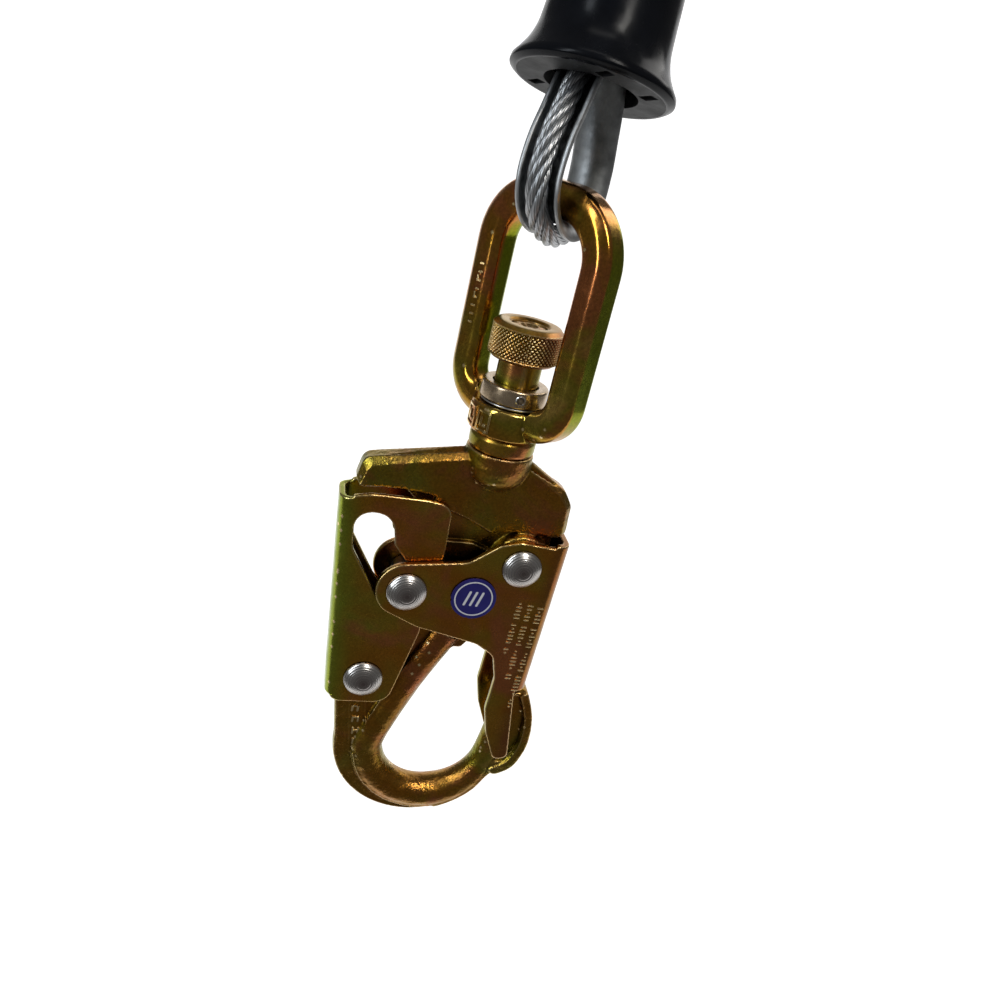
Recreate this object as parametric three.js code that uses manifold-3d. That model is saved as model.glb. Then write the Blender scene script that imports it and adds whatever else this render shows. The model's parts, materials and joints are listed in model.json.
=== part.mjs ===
// Hook end of a self retracting lifeline: steel cable with a swaged eye and bumper,
// a swivel eye with a load indicator, and a double-action forged snap hook.
// Millimetres, +Z up. The origin is on top of the outlet plate that holds the cable.
import * as THREE from 'three';
import { mergeVertices } from 'three/addons/utils/BufferGeometryUtils.js';
import Module from 'manifold-3d';

const wasm = await Module();
wasm.setup();

// ---- driving dimensions ----
const GAP = 0.3; // between pieces that touch
const DEG = Math.PI / 180;

// cable and its swaged eye
const CABLE_R = 2.5;
const LEAN = [0.1065, 0.2125]; // sideways lean of the cable per mm of rise, along X and Y
const LOOP_YAW = -42.5; // the plane of the cable's eye, about Z
const THIMBLE_R = 8.2; // inside radius of the thimble's crown
const THIMBLE_WALL = 1.2;
const THIMBLE_HALF_WIDTH = 5.4;
const THIMBLE_DEPTH = 4;
const LOOP_R = THIMBLE_R + THIMBLE_WALL + GAP + CABLE_R; // cable centreline at the crown
const LEG_OFFSET = CABLE_R + 0.15; // of each leg from the axis inside the ferrule
const FERRULE_FROM = 34;
const FERRULE_TO = 56;
const CABLE_BREAK = 58; // where the eye's cable passes over into the free stretch
const STRAIGHT_TO = 150; // end of the straight stretch, from the centre of the crown
const OUTLET_BEND_R = 70;

// bumper, heights above the centre of the crown
const BUMPER_BOTTOM = 19.8;
const BUMPER_TOP = 98;
const FLANGE_R = 18.9;
const BARREL_R = 14.6;
const BUMPER_CAVITY_R = 9.4;
const BUMPER_MOUTH_R = 10.8; // wider mouth round the loop's legs

// outlet fitting
const PLATE_T = 6;
const PLATE_R = 27;
const BUFFER_T = 5;
const NOZZLE_H = 26;
const OUTLET_SCREWS = 4;
const OUTLET_SCREW_CIRCLE_R = 20.5;

// swivel eye and load indicator, heights above the hook's datum
const EYE_YAW = -55.5;
const EYE_BAR_R = 4.15;
const EYE_HALF_WIDTH = 16.6; // to the middle of the bar
const EYE_TOP = 58.35; // middle of the top bar
const EYE_BOTTOM = 6.9; // middle of the bottom bar
const EYE_CORNER_R = 13;
const EYE_FOOT_R = 8; // its lower corners
const HUB_R = 9.6;
const HUB = [1.8, 9.3];
const COLLAR_R = 8.3;
const COLLAR = [10.3, 14.6];
const STUD_R = 5.4;
const KNOB_R = 8.7;
const KNOB = [20.4, 29.4];
const PIN_R = 1.35;

// hook
const PLATE_HALF_T = 4; // web of the forging
const HEAD_LAYERS = [[2, 0], [3.6, 1.1], [4.9, 2.2]]; // half thickness, and how far the edge falls back
const BOSS_R = 8.6;
const BOSS_SIDE = 8; // where its straight side ends, below the datum
const BOSS_DEPTH = 14.3;
const BAR_R = 4.9; // rounded bar round the bowl's opening
const LEVER_PLATE = [4.3, 5.9]; // half distances of the lever's plates from the middle
const GATE_PLATE = [6.2, 8]; // the same of the gate's plates
const GATE_PIVOT = [11.1, -32.3];
const LOCK_PIN = [-17.4, -42.6];
const LEVER_PIVOT = [-23.8, -72];
const LEVER_SWEEP_R = 55.9; // clear radius round the lever's pivot
const RIVET_R = 2.6;
const RIVET_HEAD_R = 5.3;
const LOCK_RIVET_R = 2.3;
const BUSH_R = 3.9;
const BOSS_HALF_T = 5.9; // raised boss round the gate's pivot
const SPRING_R = 5.4; // middle of the wire
const SPRING_WIRE_R = 0.5;
const SLEEVE_R = 3.1;
const LABEL_R = 6;
const LABEL_AT = [0.2, -42.3];
const SEGMENTS = 28;

// ---- solids ----
function solid(geometry) {
  const bare = geometry.index ? geometry.toNonIndexed() : geometry.clone();
  bare.deleteAttribute('normal');
  bare.deleteAttribute('uv');
  const merged = mergeVertices(bare, 1e-4);
  const mesh = new wasm.Mesh({
    numProp: 3,
    vertProperties: new Float32Array(merged.attributes.position.array),
    triVerts: new Uint32Array(merged.index.array),
  });
  return new wasm.Manifold(mesh);
}

function geometryOf(manifold) {
  const { vertProperties, triVerts, numProp } = manifold.getMesh();
  const geometry = new THREE.BufferGeometry();
  const xyz = new Float32Array((vertProperties.length / numProp) * 3);
  for (let i = 0; i < xyz.length / 3; i++) {
    for (let k = 0; k < 3; k++) xyz[3 * i + k] = vertProperties[numProp * i + k];
  }
  geometry.setAttribute('position', new THREE.BufferAttribute(xyz, 3));
  geometry.setIndex(new THREE.BufferAttribute(new Uint32Array(triVerts), 1));
  return geometry;
}

function join(first, ...others) {
  return others.reduce((a, b) => a.add(b), first);
}

function cut(first, ...others) {
  return others.reduce((a, b) => a.subtract(b), first);
}

// A polygon whose corners are [x, y, radius], each rounded to its own radius.
function rounded(corners, Shape = THREE.Shape) {
  const points = [];
  const count = corners.length;
  for (let i = 0; i < count; i++) {
    const [x, y, r = 0] = corners[i];
    const here = new THREE.Vector2(x, y);
    const a = new THREE.Vector2(...corners[(i + count - 1) % count]).sub(here);
    const b = new THREE.Vector2(...corners[(i + 1) % count]).sub(here);
    const half = Math.acos(THREE.MathUtils.clamp(a.dot(b) / (a.length() * b.length()), -1, 1)) / 2;
    if (r === 0 || half > 1.5) {
      points.push(here);
      continue;
    }
    const reach = Math.min(r / Math.tan(half), 0.49 * Math.min(a.length(), b.length()));
    const from = a.clone().setLength(reach).add(here);
    const to = b.clone().setLength(reach).add(here);
    const steps = Math.max(2, Math.ceil((Math.PI - 2 * half) / (18 * DEG)));
    const curve = new THREE.QuadraticBezierCurve(from, here, to);
    points.push(...curve.getPoints(steps));
  }
  return new Shape(points);
}

// A shape drawn in X and Z, as a slab from one Y to another.
function slab(shape, y0, y1) {
  const geometry = new THREE.ExtrudeGeometry(shape, {
    depth: y1 - y0,
    bevelEnabled: false,
    curveSegments: 16,
  });
  geometry.rotateX(Math.PI / 2).translate(0, y1, 0);
  return solid(geometry);
}

// Two slabs of one outline, in front of and behind the middle plane.
function bothSides(shape, near, far) {
  return [slab(shape, -far, -near), slab(shape, near, far)];
}

// A turned piece about Z from a closed profile of [radius, height].
function turned(profile, segments = SEGMENTS) {
  const points = profile.map(([r, z]) => new THREE.Vector2(r, z));
  const onAxis = profile[0][0] === 0 && profile[profile.length - 1][0] === 0;
  if (!onAxis) points.push(points[0].clone());
  const geometry = new THREE.LatheGeometry(points, segments);
  geometry.rotateX(Math.PI / 2);
  return outward(solid(geometry.toNonIndexed()), geometry);
}

// A lathe profile that runs the other way round gives an inside-out body, so it is flipped.
function outward(body, geometry) {
  if (body.volume() > 0) return body;
  const flat = geometry.toNonIndexed();
  const at = flat.attributes.position;
  for (let i = 0; i < at.count; i += 3) {
    const [x, y, z] = [at.getX(i), at.getY(i), at.getZ(i)];
    at.setXYZ(i, at.getX(i + 1), at.getY(i + 1), at.getZ(i + 1));
    at.setXYZ(i + 1, x, y, z);
  }
  return solid(flat);
}

function disc(r, z0, z1, segments = SEGMENTS) {
  return turned([[0, z0], [r, z0], [r, z1], [0, z1]], segments);
}

function ring(rIn, rOut, z0, z1, segments = SEGMENTS) {
  return turned([[rIn, z0], [rOut, z0], [rOut, z1], [rIn, z1]], segments);
}

// The same along Y, centred at a point of the X-Z plane.
function alongY(body, [x, z]) {
  return body.rotate([90, 0, 0]).translate([x, 0, z]);
}

function crossPin(r, halfLength, at) {
  return alongY(disc(r, -halfLength, halfLength, 24), at);
}

function sweep(section, path, steps) {
  return solid(new THREE.ExtrudeGeometry(section, { steps, extrudePath: path, bevelEnabled: false }));
}

function circleSection(r, sides) {
  const points = [];
  for (let i = 0; i < sides; i++) {
    const a = ((i + 0.5) / sides) * 2 * Math.PI;
    points.push(new THREE.Vector2(r * Math.cos(a), r * Math.sin(a)));
  }
  return new THREE.Shape(points);
}

// ---- materials ----
function finish(color, roughness, metalness) {
  return new THREE.MeshStandardMaterial({ color, roughness, metalness });
}

const ZINC = finish(0x8f7a3f, 0.35, 0.9);
const STAINLESS = finish(0xb4b4b2, 0.3, 1);
const GALVANISED = finish(0x9a9c9c, 0.45, 0.9);
const ALUMINIUM = finish(0xb9bbbd, 0.4, 0.9);
const RUBBER = finish(0x16171a, 0.35, 0);
const NYLON = finish(0x2a2b2e, 0.5, 0);
const RED = finish(0xb01818, 0.5, 0);
const BLUE = finish(0x24308c, 0.5, 0);

function place(group, name, body, material) {
  const mesh = new THREE.Mesh(geometryOf(body), material);
  mesh.name = name;
  group.add(mesh);
}

// ---- cable end: everything here is drawn about the centre of the thimble's crown ----
// Y runs across the loop, Z along the cable.
const LEG = [ // one leg of the loop's centreline: [distance from the axis, height]
  [LOOP_R, 0],
  [LOOP_R - 0.5, 6],
  [LOOP_R - 2.4, 12.5],
  [7.8, 19],
  [4.8, 26],
];

// The loop's centreline, from the top of one leg round the crown to the top of the other.
function loopPoints(top) {
  const side = [...LEG, ...top];
  const bend = [];
  for (const a of [-22.5, -45, -67.5, -90, -112.5, -135, -157.5]) {
    bend.push([LOOP_R * Math.cos(a * DEG), LOOP_R * Math.sin(a * DEG)]);
  }
  const far = side.map(([y, z]) => [-y, z]);
  return [...side.reverse(), ...bend, ...far].map(([y, z]) => new THREE.Vector3(0, y, z));
}

function thimble() {
  const back = LOOP_R - THIMBLE_R; // from the cable's centreline to the crown's inner face
  const points = [];
  for (let i = 0; i <= 8; i++) {
    const a = (i / 8) * Math.PI;
    points.push([THIMBLE_HALF_WIDTH * Math.cos(a), -THIMBLE_DEPTH * Math.sin(a)]);
  }
  for (let i = 8; i >= 0; i--) {
    const a = (i / 8) * Math.PI;
    const wide = THIMBLE_HALF_WIDTH - THIMBLE_WALL;
    points.push([wide * Math.cos(a), -(THIMBLE_DEPTH - THIMBLE_WALL) * Math.sin(a)]);
  }
  const path = new THREE.CatmullRomCurve3(loopPoints([]), false, 'centripetal');
  // the section's X lies across the loop and its Y points outwards
  const drop = THIMBLE_DEPTH - back;
  const section = new THREE.Shape(points.map(([w, d]) => new THREE.Vector2(w, d + drop)));
  return sweep(section, path, 30);
}

function cableEye() {
  const ends = [[LEG_OFFSET, FERRULE_FROM - 1], [LEG_OFFSET, FERRULE_FROM + 8], [LEG_OFFSET, CABLE_BREAK]];
  const path = new THREE.CatmullRomCurve3(loopPoints(ends), false, 'centripetal');
  return sweep(circleSection(CABLE_R, 8), path, 48);
}

function ferrule() {
  const oval = new THREE.Shape();
  oval.absellipse(0, 0, 4.1, 6.4, 0, 2 * Math.PI);
  const tall = FERRULE_TO - FERRULE_FROM;
  const barrel = solid(new THREE.ExtrudeGeometry(oval, {
    depth: tall - 2,
    bevelSize: 0.8,
    bevelOffset: -0.8,
    bevelThickness: 1,
    bevelSegments: 2,
    curveSegments: 14,
  })).translate([0, 0, FERRULE_FROM + 1]);
  const bore = disc(CABLE_R + GAP, FERRULE_FROM - 2, FERRULE_TO + 2, 20);
  return cut(barrel, bore.translate([0, LEG_OFFSET, 0]), bore.translate([0, -LEG_OFFSET, 0]));
}

function bumperShell() {
  const b = BUMPER_BOTTOM;
  const shell = turned([
    [BUMPER_MOUTH_R, b + 1.2],
    [FLANGE_R - 1.6, b],
    [FLANGE_R - 0.4, b + 0.3],
    [FLANGE_R, b + 1.4],
    [FLANGE_R - 0.5, b + 2.8],
    [BARREL_R + 1.9, b + 5.6],
    [BARREL_R + 0.5, b + 9],
    [BARREL_R, b + 13],
    [BARREL_R - 0.9, b + 30],
    [BARREL_R - 1.6, BUMPER_TOP - 10],
    [BARREL_R - 2.6, BUMPER_TOP - 3.5],
    [BARREL_R - 5, BUMPER_TOP - 0.6],
    [BARREL_R - 7, BUMPER_TOP],
    [CABLE_R + 1, BUMPER_TOP],
    [CABLE_R + 1, BUMPER_TOP - 14],
    [BUMPER_CAVITY_R, BUMPER_TOP - 18],
    [BUMPER_CAVITY_R, b + 11],
    [BUMPER_MOUTH_R, b + 9.8],
  ], 36);
  const slots = [];
  for (const [x, y] of [[-1, -1], [1, -1], [1, 1], [-1, 1]]) {
    const box = new THREE.BoxGeometry(4.2, 2.6, 6).translate(12.2 * x, 6.4 * y, b + 1.6);
    slots.push(solid(box).rotate([0, 0, -LOOP_YAW - 15.5]));
  }
  return cut(shell, ...slots);
}

function bumperInsert() {
  return ring(7.2, BUMPER_CAVITY_R - GAP, FERRULE_FROM - 4, FERRULE_TO + 6);
}

// ---- the free stretch, from inside the bumper up to the outlet ----
const axis = new THREE.Vector3(LEAN[0], LEAN[1], 1).normalize();
const across = new THREE.Vector3(Math.cos(LOOP_YAW * DEG), Math.sin(LOOP_YAW * DEG), 0);
across.addScaledVector(axis, -across.dot(axis)).normalize();
const along = new THREE.Vector3().crossVectors(axis, across);
const bendAngle = Math.acos(axis.z);
const leanDirection = new THREE.Vector3(LEAN[0], LEAN[1], 0).normalize();

// Where the cable stands upright in the outlet, seen from the centre of the crown.
const bendSide = OUTLET_BEND_R * (1 - Math.cos(bendAngle));
const bendRise = OUTLET_BEND_R * Math.sin(bendAngle);
const outlet = axis.clone().multiplyScalar(STRAIGHT_TO)
  .addScaledVector(leanDirection, bendSide)
  .add(new THREE.Vector3(0, 0, bendRise));
const CABLE_UP = BUFFER_T + NOZZLE_H / 2; // upright stretch inside the nozzle
const crown = new THREE.Vector3(-outlet.x, -outlet.y, -outlet.z - CABLE_UP - PLATE_T);

function freeCablePath() {
  const inPlane = (y, z) => crown.clone().addScaledVector(along, y).addScaledVector(axis, z);
  const points = [
    inPlane(LEG_OFFSET, CABLE_BREAK + GAP),
    inPlane(LEG_OFFSET * 0.86, CABLE_BREAK + 5),
    inPlane(LEG_OFFSET * 0.3, CABLE_BREAK + 12),
    inPlane(0, CABLE_BREAK + 19),
    inPlane(0, BUMPER_TOP - 12),
    inPlane(0, BUMPER_TOP),
    inPlane(0, BUMPER_TOP + 14),
    inPlane(0, BUMPER_TOP + 28),
    inPlane(0, STRAIGHT_TO - 12),
    inPlane(0, STRAIGHT_TO),
  ];
  for (const share of [0.33, 0.67, 1]) {
    const left = (1 - share) * bendAngle;
    const side = bendSide - OUTLET_BEND_R * (1 - Math.cos(left));
    const rise = bendRise - OUTLET_BEND_R * Math.sin(left);
    const upwards = new THREE.Vector3(0, 0, rise);
    points.push(inPlane(0, STRAIGHT_TO).addScaledVector(leanDirection, side).add(upwards));
  }
  points.push(new THREE.Vector3(0, 0, -PLATE_T - CABLE_UP / 2));
  points.push(new THREE.Vector3(0, 0, -PLATE_T - GAP));
  return new THREE.CatmullRomCurve3(points, false, 'centripetal');
}

// ---- outlet fitting, about the origin ----
function outletPlate() {
  const plate = turned([
    [0, -PLATE_T],
    [PLATE_R - 1, -PLATE_T],
    [PLATE_R, -PLATE_T + 1],
    [PLATE_R, -1],
    [PLATE_R - 1, 0],
    [0, 0],
  ], 36);
  const holes = outletScrewPlaces().map(([x, y]) => disc(2.3, -PLATE_T - 1, -1.8, 12).translate([x, y, 0]));
  return cut(plate, ...holes);
}

function outletScrewPlaces() {
  const places = [];
  for (let i = 0; i < OUTLET_SCREWS; i++) {
    const a = ((i + 0.5) / OUTLET_SCREWS) * 2 * Math.PI;
    places.push([OUTLET_SCREW_CIRCLE_R * Math.cos(a), OUTLET_SCREW_CIRCLE_R * Math.sin(a)]);
  }
  return places;
}

function outletBuffer() {
  const top = -PLATE_T - GAP;
  const pad = ring(4, PLATE_R - 1.5, top - BUFFER_T + GAP, top, 36);
  return cut(pad, ...outletScrewPlaces().map(([x, y]) => disc(2.4, -20, 0, 12).translate([x, y, 0])));
}

function outletNozzle() {
  const top = -PLATE_T - BUFFER_T - GAP;
  const flange = top - 5;
  const mouth = top - NOZZLE_H;
  const nozzle = turned([
    [3.1, top],
    [PLATE_R - 1, top],
    [PLATE_R - 1, flange],
    [16.5, flange],
    [15, flange - 1.5],
    [14.2, mouth + 6],
    [15.2, mouth + 2],
    [14.4, mouth + 0.2],
    [12.6, mouth],
    [11, mouth + 1.2],
    [8.6, mouth + 5],
    [6.6, mouth + 11],
    [4.6, mouth + 18],
    [3.3, mouth + 23],
  ], 36);
  return cut(nozzle, ...outletScrewPlaces().map(([x, y]) => disc(2.4, -40, 0, 12).translate([x, y, 0])));
}

function outletScrew() {
  const under = -PLATE_T - BUFFER_T - GAP - 5 - GAP;
  const screw = turned([
    [0, -2.2],
    [2, -2.2],
    [2, under],
    [3.7, under],
    [3.7, under - 2.4],
    [3.2, under - 3],
    [0, under - 3],
  ], 16);
  const socket = solid(new THREE.CylinderGeometry(1.7, 1.7, 3, 6).rotateX(Math.PI / 2));
  return cut(screw, socket.translate([0, 0, under - 3]));
}

// ---- swivel eye and load indicator, about the hook's datum ----
function eyeBarPath() {
  const path = new THREE.CurvePath();
  const corner = (x, z, r) => ({ x, z, r });
  const corners = [
    corner(EYE_HALF_WIDTH, EYE_BOTTOM, EYE_FOOT_R),
    corner(EYE_HALF_WIDTH, EYE_TOP, EYE_CORNER_R),
    corner(-EYE_HALF_WIDTH, EYE_TOP, EYE_CORNER_R),
    corner(-EYE_HALF_WIDTH, EYE_BOTTOM, EYE_FOOT_R),
  ];
  const at = (x, z) => new THREE.Vector3(x, 0, z);
  let from = at(7.5, EYE_BOTTOM);
  const last = at(-7.5, EYE_BOTTOM);
  corners.forEach(({ x, z, r }, i) => {
    const here = at(x, z);
    const next = i < 3 ? at(corners[i + 1].x, corners[i + 1].z) : last;
    const enter = here.clone().add(from.clone().sub(here).setLength(r));
    const leave = here.clone().add(next.clone().sub(here).setLength(r));
    const pull = 0.5523; // places the handles of a quarter circle
    path.add(new THREE.LineCurve3(from, enter));
    path.add(new THREE.CubicBezierCurve3(
      enter,
      enter.clone().lerp(here, pull),
      leave.clone().lerp(here, pull),
      leave,
    ));
    from = leave;
  });
  path.add(new THREE.LineCurve3(from, last));
  return path;
}

function swivelEye() {
  const bar = sweep(circleSection(EYE_BAR_R, 12), eyeBarPath(), 48);
  const hub = turned([
    [0, HUB[0]],
    [HUB_R - 0.6, HUB[0]],
    [HUB_R, HUB[0] + 0.6],
    [HUB_R, HUB[1] - 0.6],
    [HUB_R - 0.6, HUB[1]],
    [0, HUB[1]],
  ]);
  return cut(
    join(hub, bar),
    disc(HUB_R + 0.2, HUB[1], HUB[1] + 6),
    disc(HUB_R + 0.2, HUB[0] - 6, HUB[0]),
    disc(STUD_R + 0.9, HUB[0] - 6, HUB[1] + 6),
  );
}

function indicatorCollar() {
  const collar = turned([
    [STUD_R + GAP, COLLAR[0]],
    [COLLAR_R - 0.4, COLLAR[0]],
    [COLLAR_R, COLLAR[0] + 0.4],
    [COLLAR_R, COLLAR[1] - 0.5],
    [COLLAR_R - 0.5, COLLAR[1]],
    [STUD_R + GAP, COLLAR[1]],
  ]);
  return cut(collar, alongY(disc(PIN_R + GAP, -12, 12, 20), [0, (COLLAR[0] + COLLAR[1]) / 2]));
}

function indicatorPinEnd() {
  return alongY(disc(PIN_R, STUD_R + GAP, COLLAR_R + 0.1, 20), [0, (COLLAR[0] + COLLAR[1]) / 2]);
}

function shearPinCore() {
  return alongY(disc(PIN_R, -STUD_R + GAP, STUD_R - GAP, 20), [0, (COLLAR[0] + COLLAR[1]) / 2]);
}

function swivelStud() {
  const stud = turned([
    [0, -11],
    [4, -11],
    [4, 1.4],
    [STUD_R - 0.5, 1.4],
    [STUD_R - 0.5, 8.6],
    [STUD_R, 8.6],
    [STUD_R, KNOB[0] - GAP],
    [4.2, KNOB[0] - GAP],
    [4.2, KNOB[1] - 0.6],
    [3.6, KNOB[1] - 0.2],
    [0, KNOB[1] - 0.2],
  ]);
  return cut(stud, alongY(disc(PIN_R + GAP, -9, 9, 20), [0, (COLLAR[0] + COLLAR[1]) / 2]));
}

function indicatorKnob() {
  return turned([
    [4.5, KNOB[0]],
    [KNOB_R - 0.8, KNOB[0]],
    [KNOB_R, KNOB[0] + 0.8],
    [KNOB_R, KNOB[1] - 0.9],
    [KNOB_R - 0.9, KNOB[1]],
    [5, KNOB[1]],
    [4.5, KNOB[1] - 0.5],
  ], 32);
}

// ---- the hook, drawn in its middle plane ----
const BOWL = [-3.5, -95.5];
const BOWL_R = 24.8;
const MOUTH = [-0.7, -96.5];
const MOUTH_R = 13.5;
const BAR_PATH_R = MOUTH_R + BAR_R - 0.3;

function arcPoints([x, z], r, fromDeg, toDeg, count) {
  const points = [];
  for (let i = 0; i <= count; i++) {
    const a = (fromDeg + ((toDeg - fromDeg) * i) / count) * DEG;
    points.push([x + r * Math.cos(a), z + r * Math.sin(a)]);
  }
  return points;
}

// The web of the forging: head, spine, bowl and nose. The inner edge follows the bar's middle.
function hookWeb() {
  return rounded([
    [-7, -6, 0],
    [-31.6, -10.8, 2.4],
    [-32, -14.6, 1.2],
    [-22, -16.4, 3],
    [-12.3, -25, 5],
    [-12.3, -47.8, 4],
    [-21.8, -49.6, 3],
    [-30.8, -62, 6],
    [-30.6, -77, 6],
    ...arcPoints(BOWL, BOWL_R, 178, 323, 22),
    [19.6, -104.4, 2.5],
    [24.6, -102.4, 3],
    [28.2, -93, 6],
    [27.6, -83, 6],
    [23.6, -73.2, 3],
    [16.8, -74.4, 3],
    [17.8, -88, 4],
    ...arcPoints(MOUTH, BAR_PATH_R, -5, -170, 18),
    [-14.2, -77.5, 8],
    [-6.2, -60.5, 6],
    [-2.6, -54.2, 2],
    [8.6, -54.2, 2],
    [18.9, -34.5, 2],
    [18.9, -24.7, 0.6],
    [18.4, -15, 3],
    [16.4, -12.6, 3],
    [7, -6, 0],
  ]);
}

// The head's edges are drafted: its outline is full at the middle plane and falls back towards both faces.
function hookHead() {
  const layers = HEAD_LAYERS.map(([halfT, back]) => {
    const shape = rounded([
      [-7, -4 - back, 0],
      [-33.2 + back, -9.4 - back, 3],
      [-34.4 + back, -15.8, 1.2],
      [-24, -24, 0],
      [3.2, -24.4, 0],
      [22.2 - back, -24.2, 0.8],
      [21.8 - back, -15.4, 3],
      [19.2 - back, -11.4 - back / 2, 3],
      [7, -4 - back, 0],
    ]);
    return slab(shape, -halfT, halfT);
  });
  const sweepOfLever = alongY(disc(LEVER_SWEEP_R, -12, 12, 96), LEVER_PIVOT);
  return cut(join(...layers), sweepOfLever);
}

function hookBar() {
  const at = ([x, z]) => new THREE.Vector3(x, 0, z);
  const points = [
    [-6.8, -63.5],
    [-12.6, -77],
    ...arcPoints(MOUTH, BAR_PATH_R, -178, -14, 12),
    [18.2, -90],
    [18.4, -81],
  ];
  const path = new THREE.CatmullRomCurve3(points.map(at), false, 'centripetal');
  return sweep(circleSection(BAR_R, 12), path, 34);
}

function neckBoss() {
  const profile = [[0, -BOSS_DEPTH]];
  for (const a of [15, 30, 45, 60, 75]) {
    profile.push([BOSS_R * Math.sin(a * DEG), -BOSS_SIDE - (BOSS_DEPTH - BOSS_SIDE) * Math.cos(a * DEG)]);
  }
  return turned([...profile, [BOSS_R, -BOSS_SIDE], [BOSS_R, -3], [0, -3]]);
}

function hookBody() {
  const pocket = alongY(ring(4, 6.7, 3.4, 7, 24), GATE_PIVOT);
  const leverPocket = alongY(ring(4, 6.7, 1.4, 7, 24), LEVER_PIVOT);
  const bore = BUSH_R + GAP;
  const clearOfWeb = slab(rounded([[19.5, -73], [19.5, -24.6], [30, -24.6], [30, -73]]), -9, 9);
  return cut(
    join(
      slab(hookWeb(), -PLATE_HALF_T, PLATE_HALF_T),
      hookHead(),
      hookBar(),
      neckBoss(),
      crossPin(8.1, BOSS_HALF_T, GATE_PIVOT),
    ),
    disc(4 + GAP, -11 - GAP, 2, 24),
    crossPin(bore, 12, GATE_PIVOT),
    crossPin(bore, 12, LEVER_PIVOT),
    pocket,
    leverPocket,
    clearOfWeb,
  );
}

function thrustWasher() {
  return ring(STUD_R + GAP, COLLAR_R - 0.4, HUB[1] + GAP, COLLAR[0] - GAP);
}

// Painted round the stud inside the hub, and seen above the hub once the indicator has dropped.
function indicatorBand() {
  return ring(STUD_R - 0.2, STUD_R + 0.4, HUB[0] + 0.1, HUB[1] - 1);
}

function neckRing() {
  return turned([
    [4.3, -2.7],
    [8.1, -2.7],
    [8.4, -2.3],
    [8.4, 1],
    [8, 1.5],
    [5.4, 1.5],
    [5.4, 1.1],
    [4.3, 1.1],
  ]);
}

function rivet(halfGrip, shankR) {
  const r = RIVET_HEAD_R;
  const dome = [[0, 2.3], [2.4, 2], [4.2, 1.1], [r, 0]];
  const top = dome.map(([x, y]) => [x, halfGrip + y]);
  const bottom = dome.map(([x, y]) => [x, -halfGrip - y]);
  return turned([...bottom, [shankR, -halfGrip], [shankR, halfGrip], ...top.reverse()], 24);
}

function bush(halfLength, at) {
  return alongY(ring(RIVET_R + GAP, BUSH_R, -halfLength, halfLength, 24), at);
}

// A torsion spring's two close turns round a pivot, wound back from its front end.
function spring(front, at) {
  const turn = (z) => {
    const wire = [];
    for (let i = 0; i < 6; i++) {
      const a = (i / 6) * 2 * Math.PI;
      wire.push([SPRING_R + SPRING_WIRE_R * Math.cos(a), z + SPRING_WIRE_R * Math.sin(a)]);
    }
    return turned(wire, 20);
  };
  return alongY(join(turn(front), turn(front - 1.6 * SPRING_WIRE_R)), at);
}

// ---- lock lever: two plates joined by a web along the spine ----
function leverOutline() {
  return rounded([
    [-37.9, -18.8, 1.5],
    [-29.9, -17.5, 6],
    [-16, -17.5, 5],
    [-9.8, -20.8, 3.5],
    [-9, -38.6, 0.8],
    [-14.4, -40.2, 0.8],
    [-22.2, -31, 1.5],
    [-24, -22.6, 5],
    [-33.6, -22.6, 5],
    [-32.6, -33, 6],
    [-24.8, -45.6, 5],
    [-20, -49.8, 3],
    [-11.4, -49.8, 1],
    [-11.2, -55.5, 6],
    [-16.2, -79.6, 5],
    [-33, -80.2, 3.5],
    [-35.4, -52, 8],
  ]);
}

function leverWeb() {
  return rounded([
    [-37.9, -18.8, 1.5],
    [-36.2, -18.8, 0],
    [-33.9, -52, 8],
    [-31.6, -78.4, 1],
    [-33.1, -78.4, 1],
    [-35.4, -52, 8],
  ]);
}

function lockLever() {
  const plates = bothSides(leverOutline(), ...LEVER_PLATE);
  const web = slab(leverWeb(), -LEVER_PLATE[1], LEVER_PLATE[1]);
  return cut(join(...plates, web), crossPin(RIVET_R + GAP, 12, LEVER_PIVOT));
}

function lockSleeve() {
  return alongY(ring(LOCK_RIVET_R + GAP, SLEEVE_R, -BOSS_HALF_T, BOSS_HALF_T, 24), LOCK_PIN);
}

function inspectionLabel() {
  return alongY(disc(LABEL_R, GATE_PLATE[1] + GAP, GATE_PLATE[1] + 2 * GAP, 36), LABEL_AT);
}

// ---- gate: two plates joined by a web along its outer edge ----
function gateOutline() {
  const lobe = arcPoints(LOCK_PIN, 7.9, 236, 96, 12);
  return rounded([
    ...lobe,
    [-3, -32.4, 6],
    [4.4, -26.4, 4],
    [9.6, -24.9, 4],
    [20, -25.6, 1.5],
    [23, -23.2, 0.8],
    [22.2, -45, 8],
    [21.3, -70, 8],
    [20.5, -94.2, 1.6],
    [16.2, -95, 2],
    [12.4, -86, 4],
    [10.6, -78, 5],
    [11.4, -67.5, 5],
    [9.6, -60, 4],
    [4, -56.6, 5],
    [-13, -53, 6],
  ]);
}

function gateWeb() {
  return rounded([
    [22.7, -26, 0],
    [22.2, -45, 8],
    [21.3, -71, 0],
    [19.6, -71, 0],
    [20, -45, 8],
    [20.2, -26, 0],
  ]);
}

function gateShell() {
  const plates = bothSides(gateOutline(), ...GATE_PLATE);
  const web = slab(gateWeb(), -GATE_PLATE[1], GATE_PLATE[1]);
  return cut(
    join(...plates, web),
    crossPin(RIVET_R + GAP, 12, GATE_PIVOT),
    crossPin(RIVET_R + GAP, 12, LOCK_PIN),
  );
}

// ---- assembly ----
const lifelineHook = new THREE.Group();

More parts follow.
